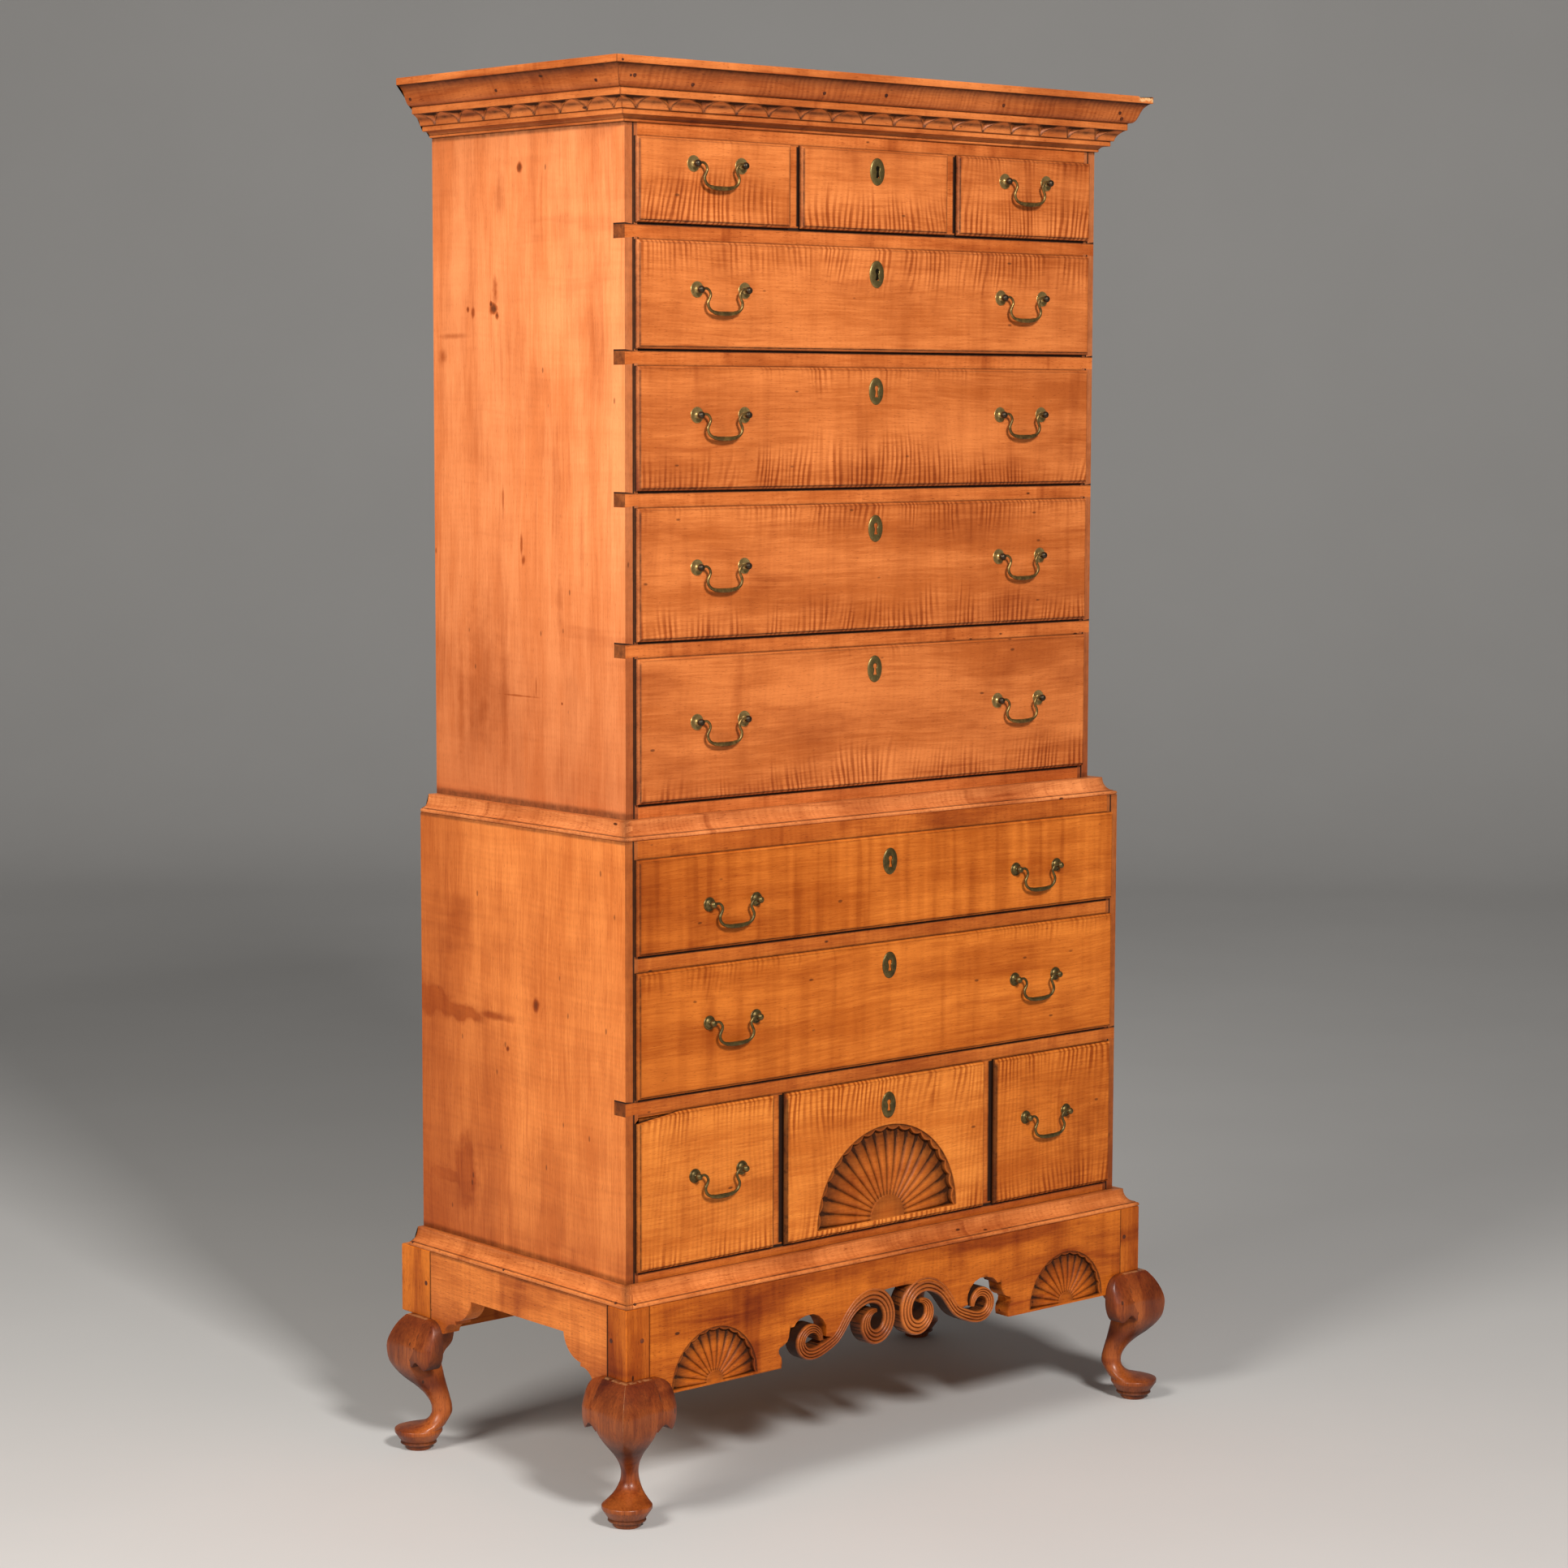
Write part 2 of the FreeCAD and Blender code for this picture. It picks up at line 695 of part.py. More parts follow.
for index in range(len(left_half) - 1, -1, -1):
    u, v = left_half[index][:2]
    before = left_half[index - 1] if index else (u, v)
    right_half.append((-u, v, before[2]) if len(before) == 3 else (-u, v))
apron_back = frame_front + d.apron_thick
panel = slab("front_panel", "XZ_Plane", -apron_back, d.apron_thick, left_half + right_half)
scrolls = [form("scroll_" + flank, scroll(side)) for side, flank in ((-1, "left"), (1, "right"))]
carved = fuse("front_apron_block", [panel] + scrolls + apron_tenons["front"])
fan_foot = d.front_apron_foot + d.apron_fan_strip
fans = []
for side, flank in ((-1, "left"), (1, "right")):
    name = "apron_fan_" + flank
    x = side * (post_inner_x + d.apron_arch_half) / 2
    fans.append(fan_tool(name, x, frame_front, fan_foot, d.apron_fan_radius, d.apron_fan_hub, 13))
keep(cut("front_apron_carved", carved, fans), "front_apron")


# Mouldings: three lengths each, mitred at the front corners.


def bowed(point, side):
    """A profile point's bow, turned the other way where the profile faces left or to the front."""
    return tuple(side * bow for bow in point[2:])


def moulding(label, half, front, profile, front_reach, side_reach, top):
    """Front and side lengths of one profile, given as (reach, height) points whose reach is a
    share of the moulding's; the mitres run from the case's corner to the outer corner."""
    lengths = []
    outline = [(front - p[0] * front_reach, p[1]) + bowed(p, -1) for p in profile]
    length = slab(label + "_front", "YZ_Plane", -(half + side_reach), (half + side_reach) * 2, outline)
    past = d.overrun
    for side in (-1, 1):
        corner = (side * half, front)
        outer = (side * (half + side_reach), front - front_reach)
        run = (outer[0] - corner[0], outer[1] - corner[1])
        tip = (outer[0] + run[0], outer[1] + run[1])
        wedge = [corner, tip, (tip[0] + side * past, tip[1]), (tip[0] + side * past, front + past)]
        wedge.append((corner[0], front + past))
        pocket_down(length, top + past, wedge)
    lengths.append(length)
    for side, flank in ((-1, "left"), (1, "right")):
        outline = [(side * (half + p[0] * side_reach), p[1]) + bowed(p, side) for p in profile]
        run = (case_back - front) + front_reach
        length = slab(label + "_" + flank, "XZ_Plane", -case_back, run, outline)
        corner = (side * half, front)
        tip = (side * (half + side_reach * 2), front - front_reach * 2)
        wedge = [corner, tip, (corner[0] - side * past, tip[1]), (corner[0] - side * past, front)]
        pocket_down(length, top + past, wedge)
        lengths.append(length)
    return group(label, lengths)


def ledge_profile(foot, height, ledge_share, bead):
    """A flat ledge, a hollow and a bead at the foot."""
    return [
        (0, foot),
        (0.95, foot, 0.62),
        (0.95, foot + bead),
        (0.86, foot + bead, -0.85),
        (ledge_share, foot + height),
        (0, foot + height),
    ]


base_ledge_share = d.base_mould_ledge / d.lower_side_step
base_profile = ledge_profile(d.frame_top, d.base_mould_height, base_ledge_share, d.base_mould_bead)
base_top = d.frame_top + d.base_mould_height
base = (base_profile, d.lower_front_step, d.lower_side_step, base_top)
moulding("base_moulding", lower_half, lower_front, *base)
waist_ledge_share = d.waist_mould_ledge / d.upper_side_step
waist_profile = ledge_profile(lower_top, d.waist_mould_height, waist_ledge_share, d.waist_mould_bead)
waist_top = lower_top + d.waist_mould_height
waist = (waist_profile, d.upper_front_step, d.upper_side_step, waist_top)
moulding("waist_moulding", upper_half, upper_front, *waist)

# The cornice, from its crown down: fillet, cove, swell, fillet, carved band, fillet, hollow, bead.
crown_foot = crown_top - d.cornice_crown
cove_foot = crown_foot - d.cornice_cove
swell_foot = cove_foot - d.cornice_swell
second_foot = swell_foot - d.cornice_second_fillet
band_foot = second_foot - d.cornice_band
fillet_foot = band_foot - d.cornice_fillet
hollow_foot = fillet_foot - d.cornice_hollow
cornice_foot = hollow_foot - d.cornice_bead
reach = d.cornice_reach
cornice_profile = [
    (0, cornice_foot),
    (d.cornice_bead_reach / reach, cornice_foot),
    (d.cornice_bead_reach / reach, hollow_foot),
    (d.cornice_hollow_reach / reach, fillet_foot),
    (d.cornice_fillet_reach / reach, fillet_foot),
    (d.cornice_fillet_reach / reach, band_foot),
    (d.cornice_fillet_reach * 1.25 / reach, band_foot, 0.8),
    (d.cornice_band_reach / reach, second_foot),
    (d.cornice_second_reach / reach, second_foot),
    (d.cornice_second_reach / reach, swell_foot),
    (d.cornice_second_reach * 1.06 / reach, swell_foot, 0.75),
    (d.cornice_swell_reach / reach, cove_foot, -0.75),
    (0.96, crown_foot),
    (1, crown_foot),
    (1, crown_top),
    (0, crown_top),
]
moulding("cornice", upper_half, upper_front, cornice_profile, reach, reach, crown_top)


# Cases: sides, boards and planks, then the rails that hold the sides together.


def case_sides(name, half, front, foot, top, tailed):
    """Two side boards, notched for the dovetails of the rails that show on them."""
    for side, flank in ((-1, "left"), (1, "right")):
        x = mirrored_span(side, half - d.side_board, half)
        blank = board("%s_blank_%s" % (name, flank), x, (front, case_back), (foot, top))
        tails = [rail_tails[number][(side > 0)] for number in tailed]
        keep(cut("%s_notched_%s" % (name, flank), blank, tails), "%s_side_%s" % (name, flank))


def rail_pair(number, half, front, level):
    """The dovetails at the two ends of a rail."""
    tails = []
    for side, turn_deg in ((-1, 90), (1, -90)):
        x = side * (half - d.side_board)
        y = front if side < 0 else front + d.tail_depth
        name = "rail_tail_%d_%s" % (number, "left" if side < 0 else "right")
        size = (d.tail_depth, d.side_board, d.tail_root, d.tail_tip)
        tails.append(dovetail(name, turn_deg, x, y, level, *size))
    return tails


def cross_rail(name, half, front, foot, top):
    """A rail between the sides, flush with the front."""
    x = (-(half - d.side_board), half - d.side_board)
    return board(name, x, (front, front + d.rail_depth), (foot, top))


rail_tails = {}
upper_rails, lower_rails = [], []
for number in (0, 1, 2, 3, 6):
    half, front = (upper_half, upper_front) if number < 5 else (lower_half, lower_front)
    level = floors[number] - d.rail / 2
    rail_tails[number] = rail_pair(number + 1, half, front, level)
    blank = cross_rail("rail_blank_%d" % (number + 1), half, front, floors[number] - d.rail, floors[number])
    rail = fuse("rail_%d" % (number + 1), [blank] + rail_tails[number])
    (upper_rails if number < 5 else lower_rails).append(rail)
case_sides("lower", lower_half, lower_front, d.frame_top, lower_top, [6])
case_sides("upper", upper_half, upper_front, lower_top, upper_top, [0, 1, 2, 3])
lower_rails.append(cross_rail("rail_6", lower_half, lower_front, floors[5] - d.rail, floors[5]))
lower_rails.append(cross_rail("lower_base", lower_half, lower_front, d.frame_top, floors[7]))
lower_head = lower_top - d.lower_top_rail
lower_rails.append(cross_rail("lower_head", lower_half, lower_front, lower_head, lower_top))
upper_rails.append(cross_rail("upper_base", upper_half, upper_front, lower_top, floors[4]))
upper_rails.append(cross_rail("upper_head", upper_half, upper_front, frieze_foot, upper_top))


def runners(number, half, front, places):
    """Strips behind a rail that carry the drawers of one row, at places across the case."""
    strips = []
    for index, (x, guided) in enumerate(places):
        y = (front + d.rail_depth, case_back - d.back_board)
        name = "runner_%d_%d" % (number, index)
        strips.append(board(name, x, y, (floors[number] - d.rail, floors[number])))
        if guided:
            z = (floors[number], floors[number] + d.guide_height)
            strips.append(board("guide_%d_%d" % (number, index), guided, y, z))
    return strips


def end_places(half):
    """Runners along the two sides of a case."""
    inner = half - d.side_board
    return [((-inner, d.runner_width - inner), None), ((inner - d.runner_width, inner), None)]


def divider_spans(middle, thick):
    """The two dividers of a row of three drawers."""
    return [mirrored_span(side, middle / 2, middle / 2 + thick) for side in (-1, 1)]


top_dividers = divider_spans(d.row_1_middle, d.row_1_divider)
foot_dividers = divider_spans(d.row_8_middle, d.row_8_divider)
for number in (0, 1, 2, 3, 5, 6):
    half, front = (upper_half, upper_front) if number < 5 else (lower_half, lower_front)
    places = end_places(half)
    if number == 0:
        for low, high in top_dividers:
            spread = (d.runner_width * 2 - (high - low)) / 2
            places.append(((low - spread, high + spread), (low, high)))
    (upper_rails if number < 5 else lower_rails).extend(runners(number, half, front, places))
for index, x in enumerate(top_dividers):
    z = (floors[0], frieze_foot)
    y = (upper_front, upper_front + d.rail_depth)
    upper_rails.append(board("top_divider_%d" % index, x, y, z))
for index, x in enumerate(foot_dividers):
    y = (lower_front, lower_front + d.rail_depth)
    lower_rails.append(board("foot_divider_%d" % index, x, y, (floors[7], floors[7] + rows[7])))
    behind = (lower_front + d.rail_depth, case_back - d.back_board)
    z = (floors[7], floors[7] + d.guide_height)
    lower_rails.append(board("foot_guide_%d" % index, x, behind, z))
group("lower_rails", lower_rails)
group("upper_rails", upper_rails)

# Boards that close the cases behind their rails, and the top that seats the cornice.
inside_lower = (-(lower_half - d.side_board), lower_half - d.side_board)
inside_upper = (-(upper_half - d.side_board), upper_half - d.side_board)
behind_lower = (lower_front + d.rail_depth, case_back - d.back_board)
behind_upper = (upper_front + d.rail_depth, case_back - d.back_board)
group(
    "case_boards",
    [
        board("lower_floor", inside_lower, behind_lower, (floors[7] - d.floor_board, floors[7])),
        board("lower_lid", inside_lower, behind_lower, (lower_top - d.floor_board, lower_top)),
        board("upper_floor", inside_upper, behind_upper, (floors[4] - d.floor_board, floors[4])),
        board("upper_lid", (-upper_half, upper_half), (upper_front, case_back), (upper_top, crown_top)),
    ],
)


def planks(name, inside, foot, top, count):
    """Back planks laid across the case, edge to edge."""
    y = (case_back - d.back_board, case_back)
    laid = []
    for index in range(count):
        low = foot + (top - foot) * (index / count)
        high = foot + (top - foot) * ((index + 1) / count)
        laid.append(board("%s_plank_%d" % (name, index), inside, y, (low, high)))
    return laid


back_planks = planks("lower", inside_lower, d.frame_top, lower_top, 3)
back_planks += planks("upper", inside_upper, lower_top, upper_top, 5)
group("back_planks", back_planks)


# Drawers: lipped front, two sides dovetailed into it, a back, and a bottom in grooves.


def lipped_front(name, front, x, z, reach_left, reach_right):
    """The front board: a lip with a bevelled edge and a tongue in the opening."""
    lip_back = front - d.running_gap
    lip_face = lip_back - d.lip_thick
    lip_x = (x[0] - reach_left, x[1] + reach_right)
    lip_z = (z[0] - d.lip_rail_overlap, z[1] + d.lip_rail_overlap)
    lip = board(name + "_lip", lip_x, (lip_face, lip_back), lip_z)
    doc.recompute()
    bevelled = doc.addObject("Part::Chamfer", name + "_thumbnail")
    bevelled.Base = lip
    at_face = [
        index
        for index, edge in enumerate(lip.Shape.Edges, 1)
        if all(abs(vertex.Y - lip_face) < d.running_gap for vertex in edge.Vertexes)
    ]
    bevelled.Edges = [(index, float(d.lip_bevel), float(d.lip_bevel)) for index in at_face]
    tongue_x = (x[0] + d.drawer_side_gap, x[1] - d.drawer_side_gap)
    tongue_z = (z[0] + d.running_gap, z[1] - d.drawer_top_gap)
    tongue = board(name + "_tongue", tongue_x, (lip_back, lip_back + d.front_tongue), tongue_z)
    return fuse(name + "_front_blank", [bevelled, tongue])


def drawer(label, number, x, left_reach, right_reach, pulls, plate, keyed, fan):
    """One drawer with its brass. x is its opening; pulls are the middles of its bails."""
    upper = number < 5
    front = upper_front if upper else lower_front
    z = (floors[number], floors[number] + rows[number])
    name = "drawer_" + label
    blank = lipped_front(name, front, x, z, left_reach, right_reach)
    face = front - d.running_gap - d.lip_thick
    shoulder = front - d.running_gap + d.front_tongue
    end = front + drawer_end - upper_front
    low, high = z[0] + d.running_gap, z[1] - d.drawer_top_gap
    outer = (x[0] + d.drawer_side_gap, x[1] - d.drawer_side_gap)
    inner = (outer[0] + d.drawer_side, outer[1] - d.drawer_side)
    floor_low = low + d.bottom_rise
    floor_high = floor_low + d.drawer_bottom
    panel_x = (inner[0] - d.bottom_groove, inner[1] + d.bottom_groove)
    panel = board(name + "_bottom", panel_x, (shoulder - d.bottom_groove, end), (floor_low, floor_high))
    tails = max(2, round((high - floor_high) / d.drawer_tail_pitch))
    pitch = (high - floor_high) / tails
    boards, sockets = [], []
    for flank, side_x in (("left", (outer[0], inner[0])), ("right", (inner[1], outer[1]))):
        side = board("%s_%s_blank" % (name, flank), side_x, (shoulder, end), (low, high))
        joint = []
        for tail in range(tails):
            middle = floor_high + pitch * (tail + 0.5)
            tail_name = "%s_%s_tail_%d" % (name, flank, tail)
            size = (d.drawer_side, d.drawer_tail, pitch * 0.5, pitch * 0.74)
            joint.append(dovetail(tail_name, 180, side_x[1], shoulder, middle, *size))
        sockets += joint
        whole = fuse("%s_%s_tailed" % (name, flank), [side] + joint)
        boards.append(cut("%s_%s" % (name, flank), whole, [panel]))
    back = board(name + "_back", inner, (end - d.drawer_back, end), (floor_high, high))
    brass, holes = fittings(label, number, z, face, shoulder, pulls, plate, keyed)
    tools = sockets + [panel] + holes
    if fan:
        foot = z[0] - d.lip_rail_overlap + d.drawer_fan_strip
        middle = (x[0] + x[1]) / 2
        tools.append(fan_tool(name + "_fan", middle, face, foot, d.drawer_fan_radius, d.drawer_fan_hub, 18))
    front_board = cut(name + "_front", blank, tools)
    group(name, [front_board] + boards + [back, panel])
    group("brass_" + label, brass)


# Brass: rosettes and posts through the drawer front, bails between the posts, key plates.


def fittings(label, number, z, face, shoulder, pulls, plate, keyed):
    """The brass of one drawer, and the holes that it needs in the drawer's front."""
    brass, holes = [], []
    level = z[0] + rows[number] * PULL_RISE_SHARES[number]
    for index, middle in enumerate(pulls):
        for side in (-1, 1):
            name = "post_%s_%d_%d" % (label, index, side)
            x = middle + side * d.pull_bore / 2
            hole = d.shank_width / 2 + d.bail_pin_gap
            run = (face - d.overrun, shoulder + d.overrun)
            holes.append(board(name + "_hole", (x - hole, x + hole), run, (level - hole, level + hole)))
            brass.append(pull_post(name, x, face, shoulder, level, side))
        name = "bail_" + label
        if len(pulls) > 1:
            name += ("_left", "_right")[index]
        bail(name, middle, face - d.post_reach, level)
    if plate:
        middle = Size(0, "0")
        height = z[0] + rows[number] * PLATE_RISE_SHARES[number]
        brass.append(key_plate("plate_" + label, middle, face, height))
        if keyed:
            slot_x = (middle - d.keyhole_slot, middle + d.keyhole_slot)
            slot_y = (face - d.overrun, shoulder + d.overrun)
            slot_z = (height - d.keyhole_drop, height + d.keyhole_head)
            holes.append(board("keyhole_" + label, slot_x, slot_y, slot_z))
            lock_x = (middle - d.lock_width / 2, middle + d.lock_width / 2)
            lock_z = (height - d.lock_height * 0.7, height + d.lock_height * 0.3)
            brass.append(board("lock_" + label, lock_x, (shoulder, shoulder + d.lock_thick), lock_z))
    return brass, holes


def prism(name, sides, radius, length, x, y, z, turn):
    """A bar with flat sides that runs from a point along its own turned Z axis."""
    bar = doc.addObject("Part::Prism", name)
    bar.Polygon = sides
    bind(bar, "Circumradius", radius)
    bind(bar, "Height", length)
    bar.Placement.Rotation = turn
    place(bar, x, y, z)
    return bar


def pull_post(name, x, face, shoulder, level, side):
    """A rosette and a post bored for the bail's pin; its shank runs through the drawer front."""
    backwards = Rotation(Vector(1, 0, 0), -90)
    thick, reach = d.rosette_thick, d.post_reach
    rosette = prism(name + "_rosette", 8, d.rosette_radius, thick, x, face - thick, level, backwards)
    half = d.shank_width / 2
    shank_y = (face - thick, shoulder)
    shank = board(name + "_shank", (x - half, x + half), shank_y, (level - half, level + half))
    half = d.head_width / 2
    head_y = (face - reach - half, face - thick)
    head = board(name + "_head", (x - half, x + half), head_y, (level - half, level + half))
    inwards = Rotation(Vector(0, 1, 0), -90 * side)
    wall = x + side * (half - d.head_wall)
    bore = (d.bail_radius + d.bail_pin_gap) / math.cos(math.pi / 6)
    hole = prism(name + "_bore", 6, bore, d.head_width, wall, face - reach, level, inwards)
    return cut(name, fuse(name + "_whole", [rosette, shank, head]), [hole])


def bail(label, middle, y, level):
    """A swan-neck bail: a bent bar that hangs from two pins in the posts' heads."""
    half = d.pull_bore / 2
    body = doc.addObject("PartDesign::Body", label)
    path = sketch_on(body, "XZ_Plane", Size(0, "0"))
    start = half + d.head_width / 2 - d.head_wall - d.bail_end_gap
    points = [(-start, start * 0)]
    points += [(along * half - half, -drop * d.bail_drop) for along, drop in BAIL_SHARES]
    points += [(-u, v) for u, v in reversed(points)]
    draw(path, points, False)
    section = sketch_on(body, "YZ_Plane", -start)
    flat = d.bail_radius * math.sqrt(0.5)
    draw(section, [(-flat, -flat), (flat, -flat), (flat, flat), (-flat, flat)])
    wire = body.newObject("PartDesign::AdditivePipe", label + "_wire")
    wire.Profile = section
    wire.Spine = path
    wire.Transition = "Right corner"
    place(body, middle, y, level)
    keep(body, label)


def key_plate(name, x, face, level):
    """An oval plate with a keyhole: a narrow head above a slot that flares."""
    body = doc.addObject("PartDesign::Body", name)
    sketch = sketch_on(body, "XZ_Plane", Size(0, "0"))
    half_width, half_height = d.plate_width / 2, d.plate_height / 2
    turns = [index * math.pi / 6 for index in range(12)]
    draw(sketch, [(half_width * math.cos(turn), half_height * math.sin(turn)) for turn in turns])
    slot, drop, head = d.keyhole_slot, d.keyhole_drop, d.keyhole_head
    draw(sketch, [(-slot, -drop), (-slot * 0.6, head), (slot * 0.6, head), (slot, -drop)])
    pad = body.newObject("PartDesign::Pad", name + "_pad")
    pad.Profile = sketch
    bind(pad, "Length", d.plate_thick)
    place(body, x, face, level)
    return body


inner_upper, inner_lower = upper_half - d.side_board, lower_half - d.side_board
wide, slim = d.lip_overlap, d.lip_rail_overlap
for number, dividers, inner, pull_share in (
    (0, top_dividers, inner_upper, 0),
    (7, foot_dividers, inner_lower, LOW_PULL_SHARE),
):
    row = number + 1
    left, right = (-inner, dividers[0][0]), (dividers[1][1], inner)
    free_width = (left[1] - left[0] - d.pull_bore) / 2
    left_pull = (left[0] + left[1]) / 2 + free_width * pull_share
    middle = (dividers[0][1], dividers[1][0])
    drawer("%d_left" % row, number, left, wide, slim, [left_pull], False, False, False)
    drawer("%d_middle" % row, number, middle, slim, slim, [], True, number == 0, number == 7)
    drawer("%d_right" % row, number, right, slim, wide, [-left_pull], False, False, False)
for number in range(1, 7):
    upper = number < 5
    inner, inset = (inner_upper, d.upper_pull_inset) if upper else (inner_lower, d.lower_pull_inset)
    pulls = [inset - inner, inner - inset]
    drawer("%d" % (number + 1), number, (-inner, inner), wide, wide, pulls, True, number == 1, False)

doc.recompute()
for item in doc.Objects:
    if "Invalid" in item.State or "Error" in item.State:
        raise RuntimeError("failed: " + item.Label)
for node in nodes:
    if node.Shape.isNull() or not node.Shape.isValid():
        raise RuntimeError("bad shape: " + node.Label)
os.makedirs("parts", exist_ok=True)
for node in nodes:
    node.Shape.exportStep("parts/%s.step" % node.Label)
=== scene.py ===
import math

import bmesh
import bpy
import numpy as np
from mathutils import Matrix, Vector, geometry


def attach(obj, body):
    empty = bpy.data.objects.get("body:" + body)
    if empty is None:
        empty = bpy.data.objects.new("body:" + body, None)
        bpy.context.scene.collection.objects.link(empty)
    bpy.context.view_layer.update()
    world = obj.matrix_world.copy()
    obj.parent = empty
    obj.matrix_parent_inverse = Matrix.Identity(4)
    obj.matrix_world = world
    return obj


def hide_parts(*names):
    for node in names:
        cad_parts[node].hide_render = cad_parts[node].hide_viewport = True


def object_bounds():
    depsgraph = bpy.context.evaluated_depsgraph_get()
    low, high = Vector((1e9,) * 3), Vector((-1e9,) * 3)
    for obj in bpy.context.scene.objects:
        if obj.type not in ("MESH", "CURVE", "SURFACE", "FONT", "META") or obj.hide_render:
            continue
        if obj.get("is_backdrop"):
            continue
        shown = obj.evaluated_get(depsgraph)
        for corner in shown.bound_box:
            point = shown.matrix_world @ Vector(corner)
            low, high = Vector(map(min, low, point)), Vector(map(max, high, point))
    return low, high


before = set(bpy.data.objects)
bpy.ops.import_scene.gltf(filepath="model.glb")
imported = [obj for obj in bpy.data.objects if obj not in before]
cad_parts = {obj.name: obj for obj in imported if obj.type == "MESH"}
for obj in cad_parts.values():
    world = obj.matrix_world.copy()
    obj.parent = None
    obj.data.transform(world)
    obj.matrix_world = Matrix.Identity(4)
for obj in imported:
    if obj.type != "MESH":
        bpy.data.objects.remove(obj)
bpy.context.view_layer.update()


# Legs. Each leg is one stick of maple, sawn and shaved into a cabriole curve that bends out on
# the diagonal: a square post above, a knee with a sharp ridge, a round ankle and a turned pad
# foot on a small shoe. The legs are stained darker than the case.


def smooth_line(points, count):
    """Points along a cubic that runs through the given rows, its slope at each row taken from
    the neighbours, sampled evenly by distance along the rows."""
    points = np.asarray(points, float)
    steps = np.linalg.norm(np.diff(points, axis=0), axis=1)
    place = np.concatenate([[0], np.cumsum(steps)])
    slope = np.gradient(points, place, axis=0)
    at = np.linspace(0, place[-1], count)
    k = np.clip(np.searchsorted(place, at, side="right") - 1, 0, len(points) - 2)
    span = (place[k + 1] - place[k])[:, None]
    t = ((at - place[k]) / span[:, 0])[:, None]
    one = points[k] * (2 * t**3 - 3 * t**2 + 1) + points[k + 1] * (3 * t**2 - 2 * t**3)
    two = slope[k] * (t**3 - 2 * t**2 + t) + slope[k + 1] * (t**3 - t**2)
    return one + two * span


def grain_along(points, fibre, board):
    """Where each point lies in its own board: along the fibres, across the face, and deep.
    Every board is cut from a different place in the log."""
    order = {"x": [0, 2, 1], "y": [1, 2, 0], "z": [2, 0, 1]}[fibre]
    shift = np.array([1.71, 0.83, 0.47]) * board
    return points[..., order] * 0.001 + shift


def patch(points, fibre="x", board=0, curl=0.3, grime_and_shade=0.0, stain=0.0, edges=None, wear=0.0):
    """A grid of points in millimetres with what its wood needs to know: the fibres' direction,
    the board's number, how curly and stained it is, how much grime and painted shade darken it,
    its distance from the board's foot and head, and how far its finish is worn off or lightened
    by a painted highlight."""
    points = np.asarray(points, float)
    shape = points.shape[:2]
    finish = np.stack([np.broadcast_to(np.asarray(v, float), shape) for v in (curl, grime_and_shade, stain)], -1)
    foot, head = edges or (points[..., 2] - 1000, points[..., 2] + 1000)
    span = [(points[..., 2] - foot) * 0.001, (head - points[..., 2]) * 0.001, np.broadcast_to(wear, shape)]
    return points, grain_along(points, fibre, board), finish, np.stack(span, -1)


def grid_faces(shape, start=0):
    """Faces for a grid of points: the four corners of each cell."""
    index = start + np.arange(shape[0] * shape[1]).reshape(shape)
    corners = [index[:-1, :-1], index[:-1, 1:], index[1:, 1:], index[1:, :-1]]
    return np.stack(corners, -1).reshape(-1, 4).tolist()


def set_down(name, data):
    """A new object in the scene, at the origin."""
    thing = bpy.data.objects.new(name, data)
    bpy.context.scene.collection.objects.link(thing)
    return thing


def piece(name, patches, material, body="case", nodes=(), crease=38.0, filled=()):
    """Join grids into one closed mesh: four corners of each grid cell make a face, points that
    meet are merged, and faces are turned outwards. Edges sharper than the crease stay sharp.
    Filled faces bring their own lists of corners. The piece hangs on its body."""
    whole, faces, start = [], [], 0
    for part, own in [(p, None) for p in patches] + list(filled):
        shape = part[0].shape[:2]
        faces += grid_faces(shape, start) if own is None else [[start + k for k in face] for face in own]
        whole.append([values.reshape(-1, 3) for values in part])
        start += shape[0] * shape[1]
    points, *layers = [np.concatenate(values) for values in zip(*whole)]
    mesh = bpy.data.meshes.new(name)
    mesh.from_pydata(points * 0.001, [], faces)
    for label, values in zip(("grain", "finish", "edges"), layers):
        layer = mesh.attributes.new(label, "FLOAT_VECTOR", "POINT")
        layer.data.foreach_set("vector", values.astype(np.float32).ravel())
    shell = bmesh.new()
    shell.from_mesh(mesh)
    bmesh.ops.remove_doubles(shell, verts=shell.verts, dist=2e-5)
    bmesh.ops.dissolve_degenerate(shell, edges=shell.edges, dist=1e-6)
    bmesh.ops.recalc_face_normals(shell, faces=shell.faces)
    shell.to_mesh(mesh)
    shell.free()
    mesh.polygons.foreach_set("use_smooth", np.ones(len(mesh.polygons), bool))
    mesh.set_sharp_from_angle(angle=math.radians(crease))
    mesh.materials.append(material)
    thing = set_down(name, mesh)
    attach(thing, body)
    if nodes:
        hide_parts(*nodes)


